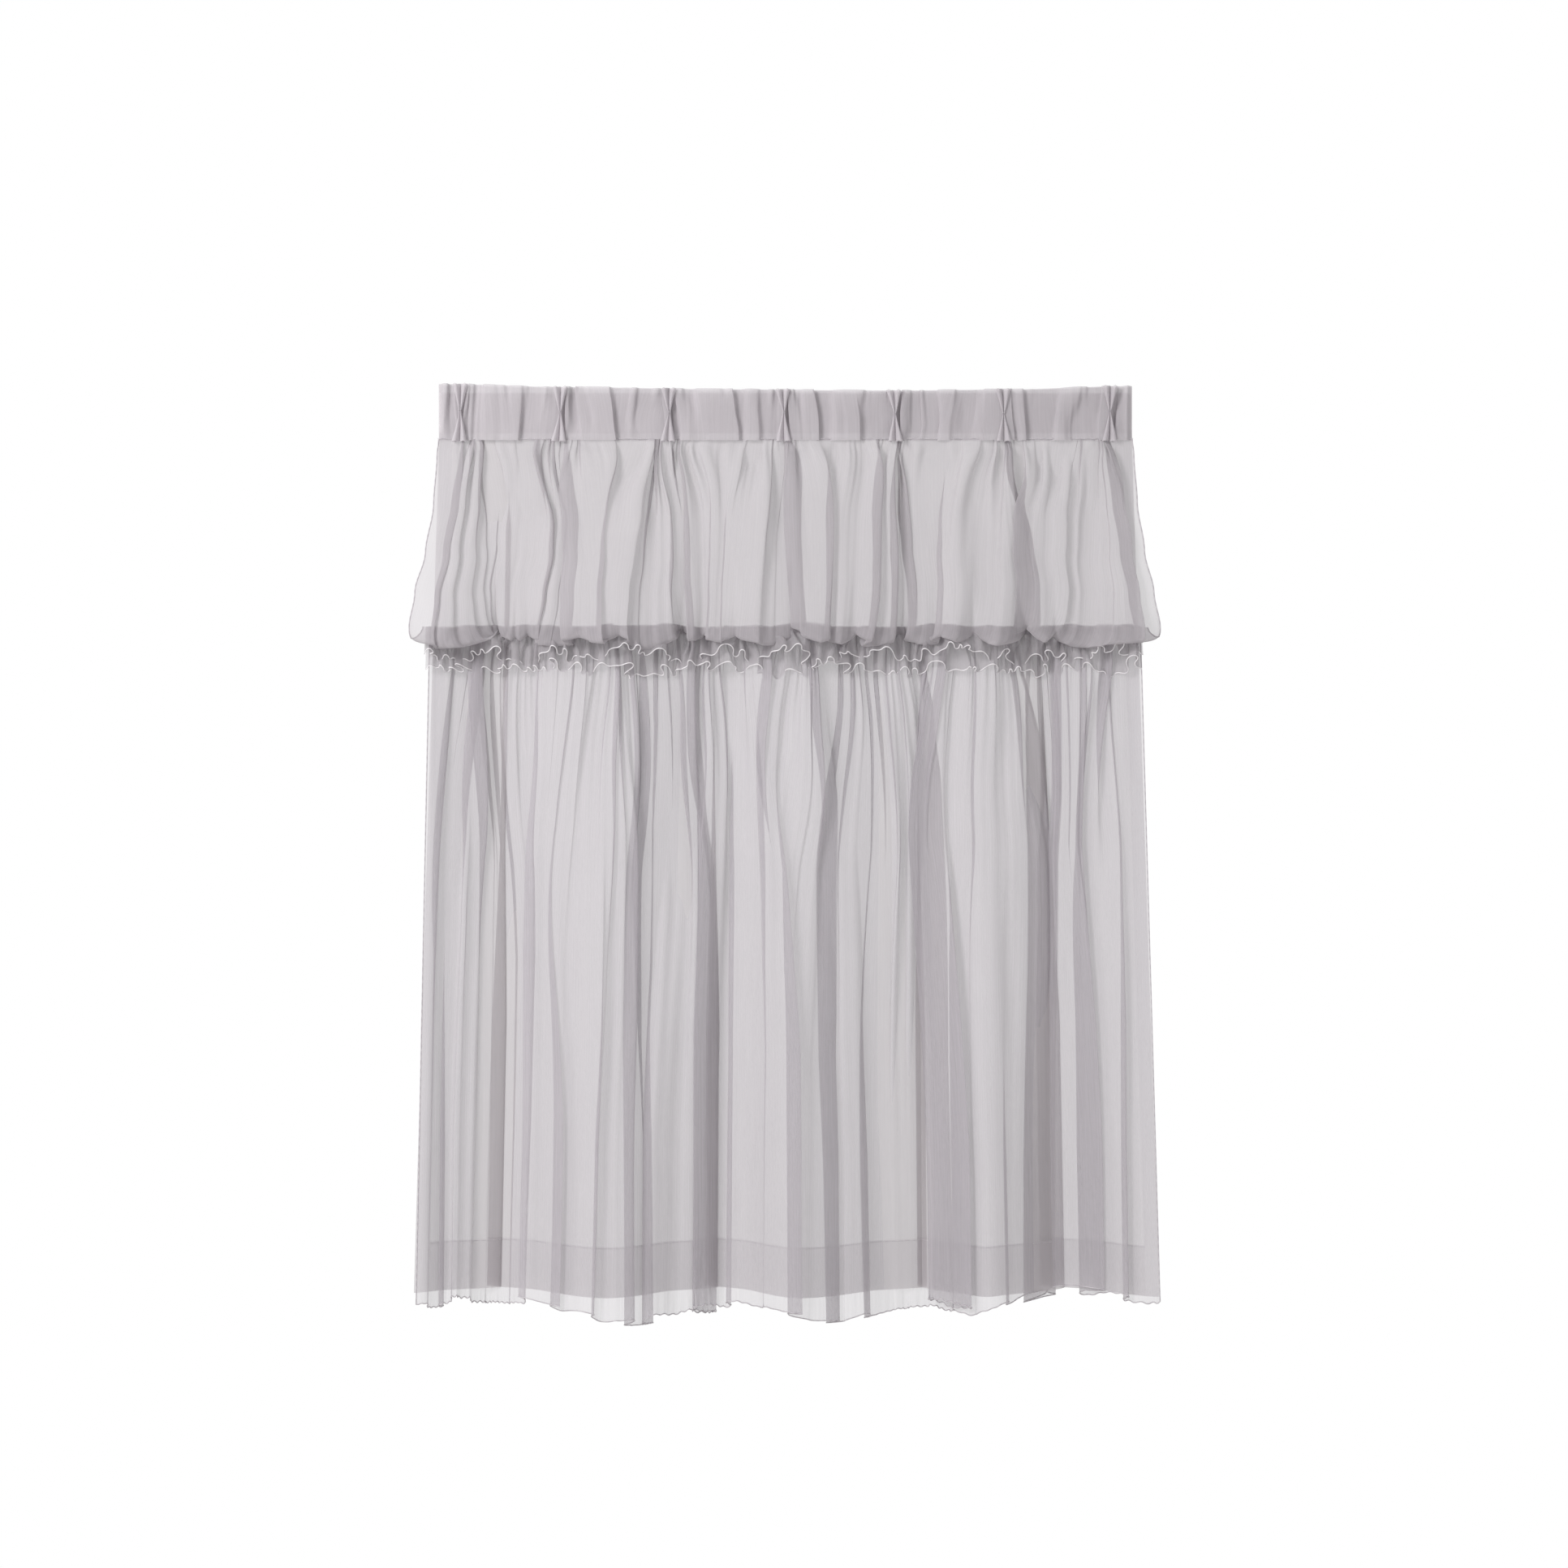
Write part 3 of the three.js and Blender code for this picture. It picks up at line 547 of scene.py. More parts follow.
# ---- Settings ----
class CurtainCloth(bpy.types.PropertyGroup):
    """How full and how see-through the cloth is."""

    sheer_cover: bpy.props.FloatProperty(
        name="Sheer cover", description="Share of the light that one layer of sheer stops",
        default=0.44, min=0.05, max=0.9, subtype="FACTOR")
    lining_cover: bpy.props.FloatProperty(
        name="Lining cover", description="Share of the light that the lining stops",
        default=0.5, min=0.05, max=0.95, subtype="FACTOR")
    skirt_flat: bpy.props.FloatProperty(
        name="Skirt flat width", description="Width of the sheer skirt before it is gathered",
        default=2.75, min=1.2, max=4.0, unit="LENGTH")
    valance_flat: bpy.props.FloatProperty(
        name="Valance flat width", description="Width of the balloon valance before it is gathered",
        default=2.2, min=1.2, max=4.0, unit="LENGTH")
    frill_flat: bpy.props.FloatProperty(
        name="Frill flat width", description="Width of each frill before it is gathered",
        default=2.0, min=1.2, max=4.0, unit="LENGTH")
    heading_flat: bpy.props.FloatProperty(
        name="Heading flat width", description="Width of the heading's cloth before it is shirred",
        default=1.6, min=1.1, max=3.0, unit="LENGTH")


class CurtainStage(bpy.types.PropertyGroup):
    """Where the camera stands and how bright the studio is."""

    camera_distance: bpy.props.FloatProperty(
        name="Camera distance", description="From the curtain to the camera",
        default=3.2, min=1, unit="LENGTH")
    camera_drop: bpy.props.FloatProperty(
        name="Camera drop", description="From the top of the heading down to the camera's height",
        default=0.572, unit="LENGTH")
    daylight: bpy.props.FloatProperty(
        name="Daylight", description="Strength of the white surroundings' light", default=0.58, min=0)


# ---- Lining ----
def lining_place(s, z):
    """Where the lining hangs: s runs across it as if it had no tucks."""
    down = fallen(z)
    spread = 1 + FLARE * down
    deepen = np.clip((down - 0.08) / 0.6, 0, 1) ** 0.7
    x = np.broadcast_to(s, np.broadcast_shapes(s.shape, z.shape)).copy()
    out = np.zeros_like(x)
    for place, doubled, half, at_top in LINING_TUCKS:
        t = np.clip((s - place / (1 + FLARE)) / half, -1, 1)
        held = np.clip(down / 0.1, 0, 1) * np.maximum(deepen, at_top)
        x = x - doubled * held * np.sin(math.pi * t) * (1 - t * t)
        out = out - 0.004 * np.sin(math.pi * t / 2) * (1 - t * t) * (1 + down)
    x = x * spread
    return stack(x, -(CLOTH_OUT + big_fold(s * spread, z) + out), z)


class CURTAIN_OT_lining(bpy.types.Operator):
    """Make the lining with its bottom hem and side hems"""

    bl_idname = "curtain.lining"
    bl_label = "Lining"

    def execute(self, context):
        inner = HALF - SIDE_HEM
        parts = (
            ("lining_cloth", -inner, inner, LINING_TOP, LINING_HEM_TOP, 520, 60, "lining", "panel"),
            ("lining_bottom_hem", -inner, inner, LINING_HEM_TOP, LINING_BOTTOM, 520, 8, "hem", "hem"),
            ("lining_left_hem", -HALF, -inner, LINING_TOP, LINING_BOTTOM, 12, 60,
             "side hem", "side_hem_left"),
            ("lining_right_hem", inner, HALF, LINING_TOP, LINING_BOTTOM, 12, 60,
             "side hem", "side_hem_right"),
        )
        for name, left, right, top, bottom, columns, rows, look, node in parts:
            s = np.linspace(left, right, columns)
            z = np.linspace(top, bottom, rows)
            points = lining_place(s[None, :], z[:, None])
            wide = np.linalg.norm(np.diff(points[rows // 2], axis=0), axis=1).sum()
            piece = cloth_piece(name, points, s * wide / (right - left), z, look)
            if name == "lining_bottom_hem":
                row = lining_place(s, np.full(columns, LINING_HEM_TOP - 2 * MM))
                row[:, 1] -= 0.4 * MM
                sewn = stitch_piece(
                    "lining_hem_stitches", [row], 3.2 * MM, 2.2 * MM, 0.35 * MM, finish("stitch"))
                settle(sewn)
            settle(piece, ("lining_" + node,))
        return {"FINISHED"}


# ---- Skirt ----
# Where the skirt's cloth crowds together: (share of the way across, how much more of it, half width).
SKIRT_CROWDS = (
    (0.02, 0.5, 0.02), (0.1, 0.8, 0.03), (0.37, 0.9, 0.03), (0.68, 0.8, 0.04), (0.86, 0.9, 0.03),
)
# The skirt's bottom edge, from left to right: (place across, how far it ends above its lowest line).
SKIRT_HEM = (
    (-0.54, 0.018), (-0.43, 0.018), (-0.31, 0.011), (-0.2, 0.0), (-0.13, 0.001), (-0.06, 0.011),
    (0.1, 0.004), (0.17, 0.01), (0.26, 0.011), (0.35, 0.024), (0.43, 0.03), (0.56, 0.028),
)
SKIRT_EDGE = ((-0.512, -0.529), (0.51, 0.532))  # left and right edges, at the seam and at the bottom
SKIRT_PROUD = (7 * MM, 13 * MM)  # how far in front of the lining at the seam, and how much more below
SKIRT_GAP = 2.5 * MM  # the nearest that its folds come to the lining
SKIRT_RELIEF = 14 * MM  # the furthest that its own folds stand forward
EDGE_RIPPLE = 13 * MM  # from one ripple of the rolled edge to the next, along the flat cloth


def skirt_points(flat, columns=1300, rows=72):
    """The skirt's flat widths and shares down it, and where its cloth hangs."""
    rng = np.random.default_rng(11)
    u = np.linspace(0, flat, columns)
    v = np.linspace(0, 1, rows) ** 1.25
    down = v[:, None]
    fine = round_folds(u, down, 0.017, rng, 0.002)
    middle = knife_folds(u, down, 0.042, rng, 0.003, 0.5, 0.2)
    coarse = knife_folds(u, down, 0.105, rng, 0.005, 0.5, 0.2, (-0.3, 0.35))
    broad = round_folds(u, down, 0.16, rng, 0.02, 0.4)
    pattern = (
        fine * (0.1 + 0.9 * np.exp(-down / 0.08))
        + middle * (0.8 + 1.3 * np.exp(-down / 0.25))
        + coarse * 3.2 * np.clip(down / 0.4 + 0.12, 0, 1)
        + broad * 0.6 * np.clip(down / 0.5, 0, 1)
    ) * np.clip((np.minimum(u, flat - u) - 0.01) / 0.06, 0, 1)
    left = SKIRT_EDGE[0][0] + (SKIRT_EDGE[0][1] - SKIRT_EDGE[0][0]) * v
    right = SKIRT_EDGE[1][0] + (SKIRT_EDGE[1][1] - SKIRT_EDGE[1][0]) * v
    crowds = [(*crowd, 0.4 + 0.6 * v) for crowd in SKIRT_CROWDS]
    x, front = gathered(pattern, u, left, right, crowds, hold=0.14, flatten=0.85)
    x = turned_back(x, left[:, None], right[:, None])
    proud = SKIRT_PROUD[0] + SKIRT_PROUD[1] * down
    front = np.maximum(SKIRT_RELIEF * np.tanh(front / SKIRT_RELIEF), -(proud - SKIRT_GAP))
    ripple = 2 * math.pi * u / EDGE_RIPPLE + 3 * np.sin(11 * u)
    curl = (0.5 + 0.5 * np.sin(7.3 * u)) ** 2
    front[-1] += 1.6 * MM * curl * np.cos(ripple)
    bottom = SKIRT_BOTTOM - 1 * MM + ease(x[-1], SKIRT_HEM) + 0.7 * front[-1]
    bottom = bottom + 1.3 * MM * curl * np.sin(ripple)
    z = SEAM + (bottom - SEAM) * down
    y = -(CLOTH_OUT + big_fold(x, z) + proud + front)
    return u, v, stack(x, y, z)


class CURTAIN_OT_skirt(bpy.types.Operator):
    """Make the sheer skirt, gathered at the seam and falling in folds to its rolled edge"""

    bl_idname = "curtain.skirt"
    bl_label = "Skirt"

    def execute(self, context):
        flat = context.scene.curtain_cloth.skirt_flat
        u, v, points = skirt_points(flat)
        length = SEAM - SKIRT_BOTTOM
        skirt = cloth_piece("skirt", points, u, v * length, "sheer")
        edging = path_piece("skirt_rolled_edge", [points[-1]], 0.8 * MM, finish("edge"))
        sides = path_piece("skirt_selvedges", [points[:, 0], points[:, -1]], 0.8 * MM, finish("edge"))
        settle(skirt, ("sheer_skirt",))
        settle(edging, ("sheer_skirt_edging",))
        settle(sides)
        return {"FINISHED"}


# ---- Frills ----
FRILL_EDGE = (-0.516, 0.51)  # the left and right ends of both frills
# Each frill: (which, how far it stands in front of the cloth at the seam, how much further at its edge).
FRILLS = (("lower", 13 * MM, 6 * MM), ("upper", 19 * MM, 12 * MM))


def uneven_seam(x):
    """How far the gathered seam wanders up and down along its length."""
    return 2 * MM * np.sin(31 * x + 1) + 1.4 * MM * np.sin(67 * x) + 0.8 * MM * np.sin(151 * x + 2)


def frill_points(bottom, proud, reach, rng, flat, columns=1400, rows=14):
    """One frill, gathered along the seam and flaring to an edge that curls because rolling stretched it."""
    left, right = (np.full(rows, edge) for edge in FRILL_EDGE)
    u = np.linspace(0, flat, columns)
    v = np.linspace(0, 1, rows)
    down = v[:, None]
    tight = round_folds(u, down, 0.026, rng, 0.001, 0.45)
    ruffle = round_folds(u, down, 0.038, rng, 0.003, 0.5)
    loops = knife_folds(u, down, 0.075, rng, 0.004, 0.5, 0.2, (-0.3, 0.3))
    pattern = tight * (1.2 - 0.9 * down) + ruffle * (0.2 + 1.0 * down) + loops * 1.7 * down
    x, front = gathered(pattern, u, left, right, flatten=0.9, hold=0.06)
    curl = np.clip((down - 0.35) / 0.65, 0, 1)
    z = SEAM + (1 - down) * uneven_seam(x) + (bottom - SEAM) * down
    z = z + (0.75 * front + 1.2 * MM * ruffle) * curl ** 1.5
    front = front + reach * down
    y = -(CLOTH_OUT + big_fold(x, z) + proud + np.maximum(front, -5 * MM))
    return u, v, stack(x, y, z)


class CURTAIN_OT_frills(bpy.types.Operator):
    """Make the two gathered frills with their rolled edges"""

    bl_idname = "curtain.frills"
    bl_label = "Frills"

    def execute(self, context):
        flat = context.scene.curtain_cloth.frill_flat
        rng = np.random.default_rng(5)
        for which, proud, reach in FRILLS:
            bottom = FRILL_BOTTOM[which]
            u, v, points = frill_points(bottom, proud, reach, rng, flat)
            frill = cloth_piece(which + "_frill_cloth", points, u, v * (SEAM - bottom), "frill")
            edging = path_piece(which + "_frill_rolled_edge", [points[-1]], 0.75 * MM, finish("thread"))
            settle(frill, (which + "_frill",))
            settle(edging, (which + "_frill_edging",))
        return {"FINISHED"}


# ---- Valance ----
# Where the seam pulls the balloon's lip up, from left to right: (place across, how far, half width).
PUCKERS = (
    (-0.545, 0.7, 0.014), (-0.412, 0.9, 0.012), (-0.386, 0.5, 0.008), (-0.372, 0.55, 0.01),
    (-0.292, 0.35, 0.014), (-0.238, 0.5, 0.012), (-0.148, 0.85, 0.012), (-0.118, 0.55, 0.01),
    (-0.07, 0.4, 0.012), (0.018, 0.85, 0.012), (0.062, 0.5, 0.012), (0.098, 0.55, 0.01),
    (0.165, 0.75, 0.012), (0.225, 0.4, 0.012), (0.268, 0.6, 0.012), (0.345, 0.85, 0.012),
    (0.385, 0.6, 0.01), (0.542, 0.7, 0.014),
)
VALANCE_EDGE = (-0.5365, 0.5335)  # its left and right edges at the lip
LIP_HALF = 0.535  # half the lip's width
VALANCE_RELIEF = 12 * MM  # the furthest that its folds stand forward
# The valance's side view: (share of the cloth down it, share of the fall, share of the puff). A fall above
# 1 is past the lip, on the way back up to the seam.
VALANCE_SIDE = (
    (0, 0, 0.02), (0.1, 0.13, 0.06), (0.25, 0.33, 0.17), (0.42, 0.55, 0.38), (0.58, 0.76, 0.68),
    (0.69, 0.9, 0.92), (0.76, 0.985, 1.0), (0.81, 1.0, 0.9), (0.87, 1.15, 0.72), (0.94, 1.6, 0.5),
    (1, 2, 0.36),
)
# How far the valance's side edges have spread by each share of the cloth down it.
VALANCE_FLARE = (
    (0, 0), (0.06, 0.06), (0.235, 0.17), (0.42, 0.43), (0.585, 0.78), (0.74, 1), (0.8, 0.95), (1, 0.55),
)


def pulled_up(x, spread=1.0):
    """How strongly the seam pulls the lip up at a place, from 0 to 1."""
    pull = np.zeros_like(x)
    for place, strength, half in PUCKERS:
        pull = np.maximum(pull, strength * np.exp(-np.abs((x - place) / (half * spread)) ** 0.95))
    return pull


def valance_points(flat, columns=1150, rows=84):
    """The valance's flat widths and shares down it, and where its cloth hangs: out over the puff, round the
    lip and back up to the seam."""
    rng = np.random.default_rng(23)
    u = np.linspace(0, flat, columns)
    v = np.linspace(0, 1, rows)
    down = v[:, None]
    fine = round_folds(u, down, 0.018, rng, 0.002)
    middle = round_folds(u, down, 0.05, rng, 0.003, 0.45)
    coarse = knife_folds(u, down, 0.095, rng, 0.007, 0.5, 0.2, (-0.5, 0.15))
    small = knife_folds(u, down, 0.04, rng, 0.004, 0.5, 0.2, (-0.6, 0.3))
    lip = np.exp(-(((down - 0.86) / 0.14) ** 2))
    pattern = (
        fine * (0.12 + 0.8 * np.exp(-down / 0.06) + 0.12 * lip)
        + middle * (0.35 + 0.4 * np.exp(-down / 0.2) + 0.25 * lip)
        + coarse * 2.0 * np.clip(down / 0.35 + 0.1, 0, 1)
        + small * 0.9
    ) * np.clip((np.minimum(u, flat - u) - 0.015) / 0.05, 0, 1)
    flare = ease(v, VALANCE_FLARE)
    left = -HALF + (VALANCE_EDGE[0] + HALF) * flare + 1 * MM * np.sin(9 * v) * flare
    right = HALF + (VALANCE_EDGE[1] - HALF) * flare + 1 * MM * np.sin(7 * v + 1) * flare
    crowds = [((x + HALF) / (2 * HALF), 4.5, 0.016, np.exp(-v / 0.3)) for x in PLEAT_X]
    at_lip = np.exp(-(((v - 0.86) / 0.16) ** 2))
    crowds += [((x + LIP_HALF) / (2 * LIP_HALF), 1.1 * pull, 0.012, at_lip) for x, pull, _ in PUCKERS]
    x, front = gathered(pattern, u, left, right, crowds, hold=0.12, flatten=0.85)
    smooth_x = blur(x, 14)
    lift = np.minimum(1.1 * pulled_up(smooth_x, 1.6), 0.9)
    lowest = SEAM - 1.3 * (SEAM - LIP) * (1 - lift) * (1 + 0.08 * np.sin(23 * smooth_x))
    shares, falls, puffs = zip(*VALANCE_SIDE)
    fall = np.interp(v, shares, falls)[:, None]
    puff = np.interp(v, shares, puffs)[:, None]
    seam = SEAM + uneven_seam(smooth_x)
    z = np.where(fall <= 1, HEADING_BOTTOM + (lowest - HEADING_BOTTOM) * fall,
                 lowest + (seam - lowest) * np.clip(fall - 1, 0, 1))
    tight = pulled_up(smooth_x, 1.8) * np.clip(fall, 0, 1) ** 2
    front = VALANCE_RELIEF * np.tanh(front / VALANCE_RELIEF)
    out = (PUFF_OUT - CLOTH_OUT - VALANCE_RELIEF) * puff * (1 - 0.6 * tight)
    z = blur(z.T, 1.1).T
    out = blur(out.T, 1.1).T
    z = z + 0.12 * front * np.clip((down - 0.6) / 0.2, 0, 1)
    loose = np.clip(down / 0.05, 0.35, 1) * (1 - 0.65 * np.clip((down - 0.85) / 0.15, 0, 1))
    y = -(CLOTH_OUT + big_fold(x, z) + np.maximum(2.5 * MM + out + front * loose, 1.5 * MM))
    return u, v, stack(x, y, z)


class CURTAIN_OT_valance(bpy.types.Operator):
    """Make the balloon valance, gathered below the heading and turned under to the seam"""

    bl_idname = "curtain.valance"
    bl_label = "Valance"

    def execute(self, context):
        flat = context.scene.curtain_cloth.valance_flat
        u, v, points = valance_points(flat)
        length = np.linalg.norm(np.diff(points, axis=0), axis=2).sum(0).mean()
        valance = cloth_piece("valance", points, u, v * length, "valance")
        edges = path_piece("valance_side_hems", [points[:, 0], points[:, -1]], 0.9 * MM, finish("edge"))
        settle(valance, ("balloon_valance",))
        settle(edges)
        return {"FINISHED"}


# ---- Heading and pleats ----
# How the heading's top line rises and sags, from left to right: (place across, height).
HEADING_SAG = (
    (-0.5, 0.006), (-0.31, 0.0015), (-0.1, -0.0015), (0.15, -0.0035), (0.31, -0.002), (0.5, 0.003),
)
HEADING_RELIEF = 4 * MM  # how far its wrinkles stand to either side of their middle
NIP = 0.46  # the share of the way down at which the pleats are stitched


def heading_top(x):
    """The height of the heading's top line at a place across."""
    return HEADING_TOP - 1 * MM + ease(x, HEADING_SAG)


def heading_points(flat, columns=1300, rows=26):
    """The heading's flat widths and shares down it, and where its wrinkled cloth stands."""
    rng = np.random.default_rng(3)
    u = np.linspace(0, flat, columns)
    v = np.linspace(0, 1, rows)
    down = v[:, None]
    fine = round_folds(u, down, 0.016, rng, 0.002, 0.5)
    middle = round_folds(u, down, 0.045, rng, 0.01, 0.5)
    creases = knife_folds(u, 0.6 * down, 0.04, rng, 0.01, 0.6, 0.25, (-0.6, 0.1))
    pattern = fine * 0.45 + middle * 0.8 + creases * 1.8
    crowds = [((x + HALF) / (2 * HALF), 2.0, 0.008, np.ones(rows)) for x in PLEAT_X]
    left, right = np.full(rows, -HALF), np.full(rows, HALF)
    x, front = gathered(pattern, u, left, right, crowds, hold=0.06, flatten=0.9)
    front = HEADING_RELIEF * np.tanh(front / HEADING_RELIEF)
    z = heading_top(x) + (HEADING_BOTTOM - 2 * MM - heading_top(x)) * down
    calm = np.clip((HALF - np.abs(x)) / (8 * MM), 0.1, 1)
    y = -(BAND_OUT + 0.5 * MM + (front + HEADING_RELIEF) * calm)
    return u, v, stack(x, y, z)


class CURTAIN_OT_heading(bpy.types.Operator):
    """Make the shirred heading and the row of stitches along its foot"""

    bl_idname = "curtain.heading"
    bl_label = "Heading"

    def execute(self, context):
        flat = context.scene.curtain_cloth.heading_flat
        u, v, points = heading_points(flat)
        height = HEADING_TOP - HEADING_BOTTOM
        heading = cloth_piece("heading", points, u, v * height, "heading")
        across = np.linspace(-HALF, HALF, 900)
        down = np.linspace(0, 1, 9)
        top = heading_top(across[None, :]) - 1 * MM
        level = top + (HEADING_BOTTOM - top) * down[:, None]
        stiff = stack(across[None, :], -(CLOTH_OUT + 0.5 * MM), level)
        buckram = cloth_piece("heading_buckram", stiff, across, down * height, "buckram")
        settle(buckram, ("heading_band",))
        row = stack(across, -(BAND_OUT + HEADING_RELIEF), HEADING_BOTTOM + 1 * MM)
        foot = stitch_piece("heading_stitches", [row], 3 * MM, 2.2 * MM, 0.45 * MM, finish("stitch"))
        settle(heading, ("heading_band",))
        settle(foot)
        return {"FINISHED"}


def pleat_section(reach, spread, deep):
    """One pleat's section: two lobes side by side, whose foot is narrower than its folds."""
    knots = np.array([
        (-0.45, 0), (-0.62, 0.25), (-0.98, 0.6), (-0.9, 0.92), (-0.55, 1.0),
        (-0.25, 0.8), (-0.08, 0.42), (0.02, 0.22), (0.12, 0.42), (0.3, 0.82),
        (0.6, 1.04), (0.95, 0.9), (1.0, 0.55), (0.62, 0.25), (0.45, 0),
    ])
    t = np.linspace(0, len(knots) - 1, 15 * 6)
    section = np.stack([np.interp(t, np.arange(len(knots)), knots[:, k]) for k in (0, 1)])
    section = blur(section, 2.5)
    filled = section[1] + (1 - spread) * 0.55 * np.exp(-((section[0] / 0.4) ** 2)) * (1 - section[1])
    return section[0] * reach, filled * deep


def pleat_points(i, rows=34):
    """Two folds nipped together: their lobes meet where they are stitched and open above and below it."""
    rng = np.random.default_rng(40 + i)
    lo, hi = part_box(f"pinch_pleat_{i}")
    half, deep = (hi[0] - lo[0]) / 2, hi[1] - lo[1]
    v = np.linspace(0, 1, rows)
    nip = NIP + rng.uniform(-0.03, 0.03)
    opened = np.clip(np.abs(v - nip) / np.where(v < nip, nip, 1 - nip), 0, 1)
    sections = []
    for down, spread in zip(v, opened):
        x, y = pleat_section(half * (0.1 + 1.0 * spread ** 0.95), spread, deep * (0.66 + 0.26 * spread))
        lean = (1.5 * MM * math.sin(2.5 * down + i) - 1.2 * MM) * spread
        top = heading_top(np.array(PLEAT_X[i - 1])) - 0.8 * MM
        top = top + 0.7 * MM * np.cos(9 * x / half) * (1 - down)
        z = top + (HEADING_BOTTOM - 4 * MM - top) * down
        sections.append(stack(PLEAT_X[i - 1] + x + lean, hi[1] - 0.5 * MM - y, z))
    points = np.array(sections)
    length = np.linalg.norm(np.diff(points, axis=1), axis=2).sum(1).mean()
    return np.linspace(0, length, points.shape[1]), v * (HEADING_TOP - HEADING_BOTTOM), points


class CURTAIN_OT_pleats(bpy.types.Operator):
    """Make the pinch pleats, each on its own ring"""

    bl_idname = "curtain.pleats"
    bl_label = "Pinch pleats"

    def execute(self, context):
        for i in PLEATS:
            u, v, points = pleat_points(i)
            name = f"pleat_{i}"
            pleat = cloth_piece(name, points, u, v, "pleat")
            nip = points[int(len(points) * NIP)]
            tack_path = nip[len(nip) // 12 : -len(nip) // 12] + np.array((0, -0.4 * MM, 0))
            tack = path_piece(name + "_tack", [tack_path], 0.5 * MM, finish("stitch"))
            body = "rod" if i == 1 else f"carrier_{i}"
            settle(pleat, (f"pinch_pleat_{i}",), draws=False, body=body)
            settle(tack, draws=False, body=body)
        return {"FINISHED"}


# ---- Tapes and hardware ----
class CURTAIN_OT_tapes(bpy.types.Operator):
    """Make the pleating tape behind the heading, with its rows of stitches, and the tape at the seam"""

    bl_idname = "curtain.tapes"
    bl_label = "Tapes"

    def execute(self, context):
        x = np.linspace(TAPE[0][0], TAPE[1][0], 420)
        z = np.linspace(TAPE[1][2], TAPE[0][2], 9)
        back = TAPE[1][1]
        points = stack(x[None, :], back, z[:, None])
        pleating = cloth_piece("pleating_tape", points, x, z, "tape")
        levels = (z[-1] + 3 * MM, z[-1] + 21 * MM, z[0] - 21 * MM, z[0] - 3 * MM)
        rows = [stack(x[2:-2], back + 0.2 * MM, level) for level in levels]
        sewn = stitch_piece("pleating_tape_stitches", rows, 3.4 * MM, 2.5 * MM, 0.4 * MM, finish("stitch"))
        settle(pleating, ("heading_tape",))
        settle(sewn)
        x = np.linspace(-HALF, HALF, 420)
        z = np.linspace(SEAM - 0.5 * MM, SEAM - 11 * MM, 4)
        points = stack(x[None, :], -(CLOTH_OUT + 4 * MM + big_fold(x[None, :], z[:, None])), z[:, None])
        seam = cloth_piece("seam_tape", points, x, z, "tape")
        settle(seam, ("gathering_tape",))
        return {"FINISHED"}


class CURTAIN_OT_hardware(bpy.types.Operator):
    """Give the rod, rings, hooks, brackets and screws their finishes"""

    bl_idname = "curtain.hardware"
    bl_label = "Hardware"

    def execute(self, context):
        looks = {
            "curtain_rod": "coated", "wall_bracket": "coated", "rod_end_cap": "plastic", "ring": "plastic",
            "hook": "zinc", "wall_screw": "zinc", "set_screw": "zinc",
        }
        for node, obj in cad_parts.items():
            look = next((looks[key] for key in looks if node.startswith(key)), None)
            if look:
                obj.data.materials.clear()
                obj.data.materials.append(finish(look))
        return {"FINISHED"}


# ---- Stage ----
LENS = 50.9  # focal length, in millimetres
SENSOR = 36.0  # sensor width, in millimetres
CAMERA_ACROSS = -2 * MM
LIT_MIDDLE = (0, -CLOTH_OUT, -0.6)  # what both lights face
# The soft lights: (name, place, width and height, power in watts).
LIGHTS = (("key", (-2.2, -2.6, 0.9), 1.2, 122), ("fill", (2.4, -2.2, -0.2), 1.6, 14))
FLOOR = ((-3, -3.5), (3, 1.1))  # its near left and far right corners
FLOOR_LEVEL = -2.15


def soft_light(name, place, size, power):
    """A square light that faces the middle of the curtain."""
    light = bpy.data.lights.new(name, "AREA")
    light.shape = "RECTANGLE"
    light.size = size
    light.size_y = size
    light.energy = power
    lamp = bpy.data.objects.new(name, light)
    way = Vector(LIT_MIDDLE) - Vector(place)
    lamp.matrix_world = Matrix.Translation(place) @ way.to_track_quat("-Z", "Y").to_matrix().to_4x4()
    bpy.context.scene.collection.objects.link(lamp)


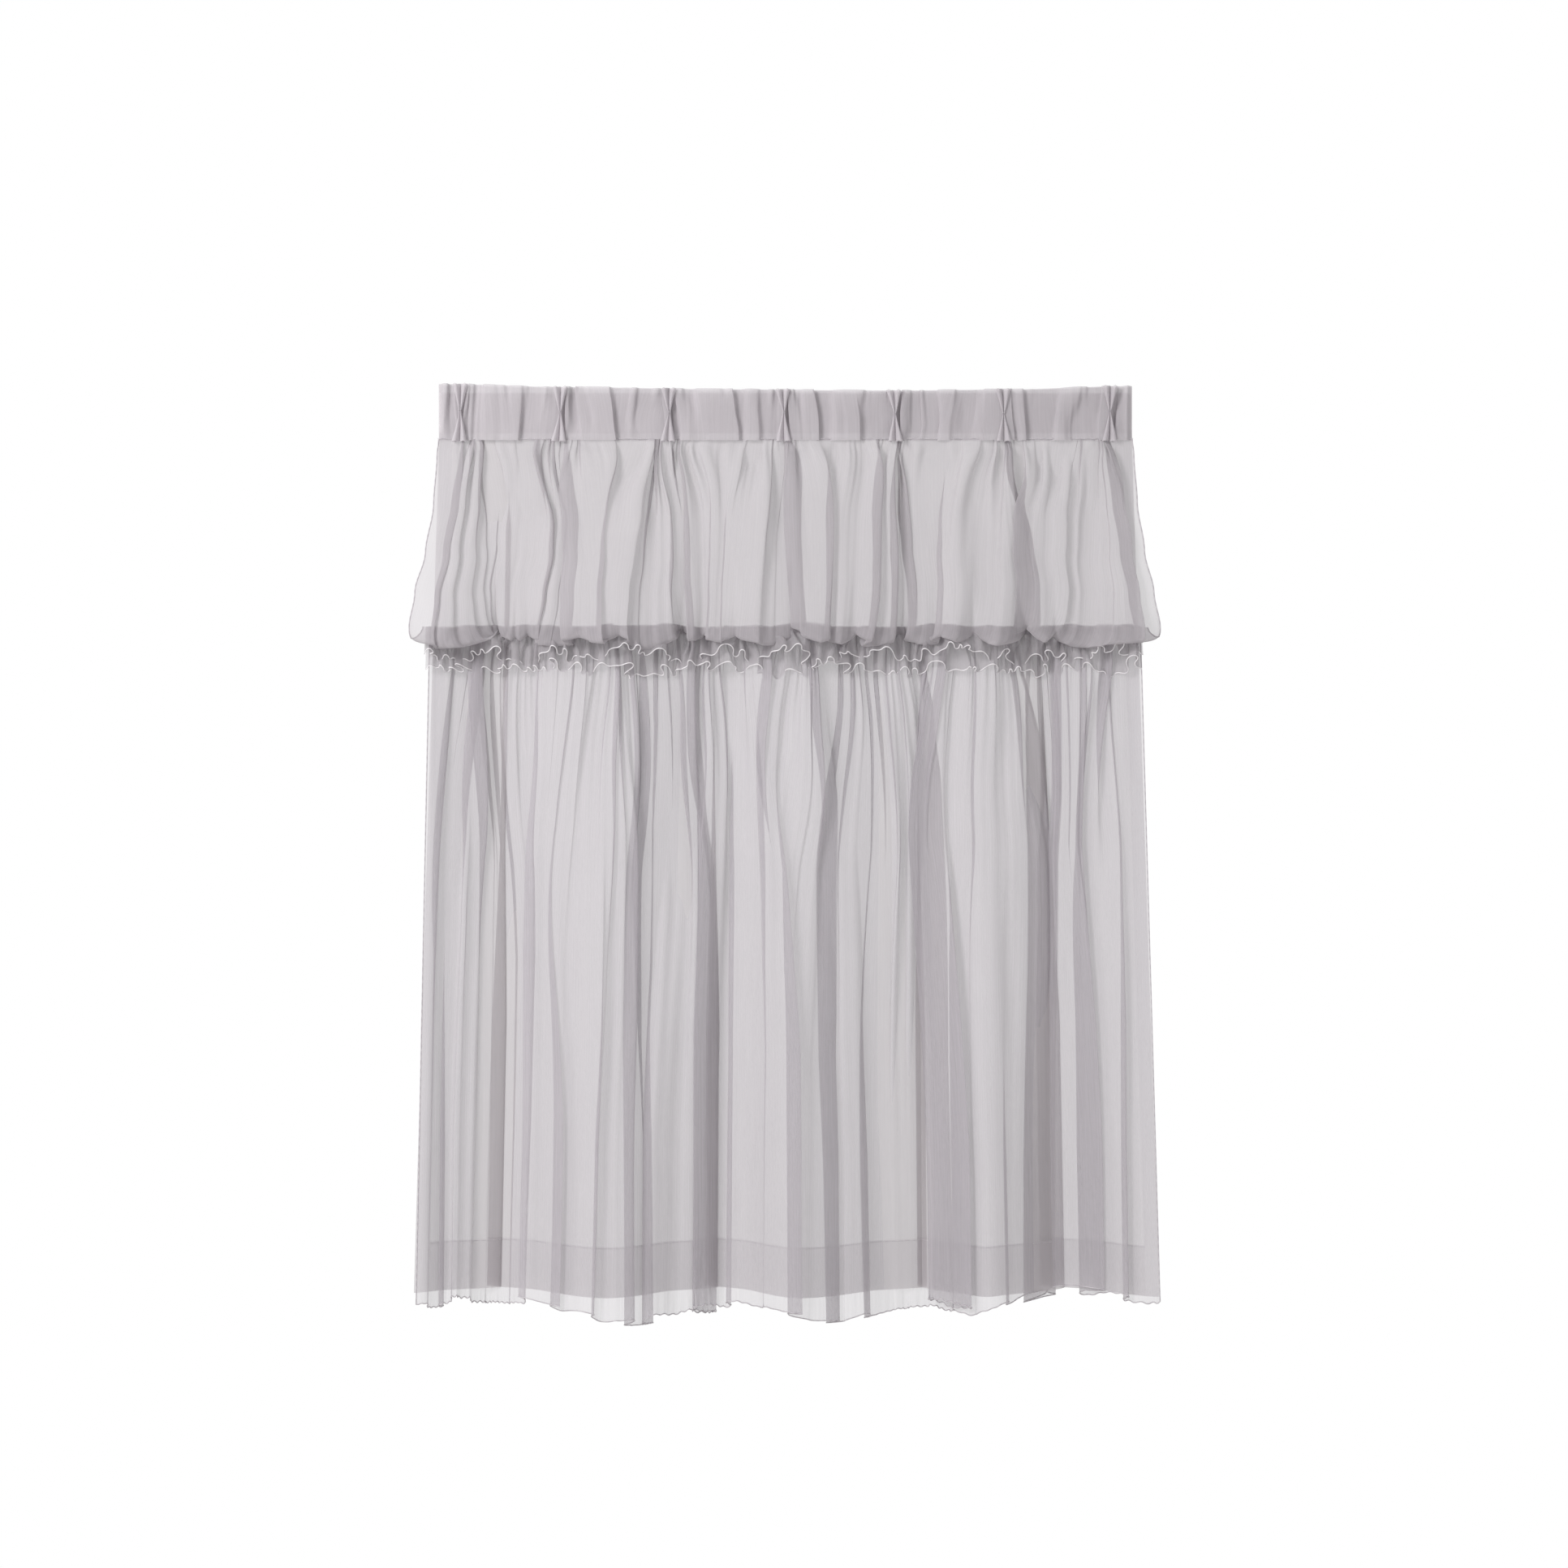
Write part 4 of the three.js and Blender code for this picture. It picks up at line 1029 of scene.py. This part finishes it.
class CURTAIN_OT_stage(bpy.types.Operator):
    """Make the camera, the white surroundings, the soft lights and the floor"""

    bl_idname = "curtain.stage"
    bl_label = "Stage"

    def execute(self, context):
        scene = context.scene
        stage = scene.curtain_stage
        lens = bpy.data.cameras.new("camera")
        lens.lens = LENS
        lens.sensor_width = SENSOR
        camera = bpy.data.objects.new("camera", lens)
        camera.location = (
            CAMERA_ACROSS, -(CLOTH_OUT + stage.camera_distance), HEADING_TOP - stage.camera_drop)
        camera.rotation_euler = (math.pi / 2, 0, 0)
        scene.collection.objects.link(camera)
        scene.camera = camera
        scene.view_settings.view_transform = "Standard"
        scene.cycles.transparent_max_bounces = 64
        world = bpy.data.worlds.new("white surroundings")
        scene.world = world
        world.use_nodes = True
        air = world.node_tree.nodes["Background"]
        air.inputs["Color"].default_value = (1, 1, 1, 1)
        seen = add(world.node_tree, "ShaderNodeLightPath", (-500, 0))
        # Pure white where it is seen directly, and weaker as a light.
        strength = add(world.node_tree, "ShaderNodeMapRange", (-250, 0),
                       {"To Min": stage.daylight, "To Max": 1.0}, {"Value": seen.outputs["Is Camera Ray"]})
        world.node_tree.links.new(strength.outputs[0], air.inputs["Strength"])
        for light in LIGHTS:
            soft_light(*light)
        mesh = bpy.data.meshes.new("floor")
        (left, near), (right, far) = FLOOR
        corners = [(x, y, FLOOR_LEVEL) for x, y in ((left, near), (right, near), (right, far), (left, far))]
        mesh.from_pydata(corners, [], [(0, 1, 2, 3)])
        # Matt and nearly white, so that only a soft edge of it shows under the curtain.
        paint = hard_finish("plaster, painted pale", ("f2f1ef", "f7f6f4"), 0.0, (0.8, 0.9), 0.05, 30)
        new_piece("floor", mesh, paint)
        return {"FINISHED"}


class CURTAIN_PT_panel(bpy.types.Panel):
    """The curtain's pieces, in the order in which they are made"""

    bl_label = "Curtain"
    bl_space_type = "VIEW_3D"
    bl_region_type = "UI"
    bl_category = "Curtain"

    def draw(self, context):
        for group in (context.scene.curtain_cloth, context.scene.curtain_stage):
            for name in group.bl_rna.properties.keys():
                if name not in {"rna_type", "name"}:
                    self.layout.prop(group, name)
        for operator in OPERATORS:
            self.layout.operator(operator.bl_idname)


OPERATORS = (CURTAIN_OT_stage, CURTAIN_OT_lining, CURTAIN_OT_skirt, CURTAIN_OT_frills, CURTAIN_OT_valance,
             CURTAIN_OT_heading, CURTAIN_OT_pleats, CURTAIN_OT_tapes, CURTAIN_OT_hardware)
CLASSES = (CurtainCloth, CurtainStage, *OPERATORS, CURTAIN_PT_panel)


def register():
    """Makes the settings, operators and panel known to Blender."""
    for cls in CLASSES:
        bpy.utils.register_class(cls)
    bpy.types.Scene.curtain_cloth = bpy.props.PointerProperty(type=CurtainCloth)
    bpy.types.Scene.curtain_stage = bpy.props.PointerProperty(type=CurtainStage)


def unregister():
    """Takes them away again."""
    del bpy.types.Scene.curtain_stage
    del bpy.types.Scene.curtain_cloth
    for cls in reversed(CLASSES):
        bpy.utils.unregister_class(cls)


def main():
    """Makes every piece in order."""
    register()
    for operator in OPERATORS:
        getattr(bpy.ops.curtain, operator.bl_idname.split(".")[1])()


if __name__ == "__main__":
    main()
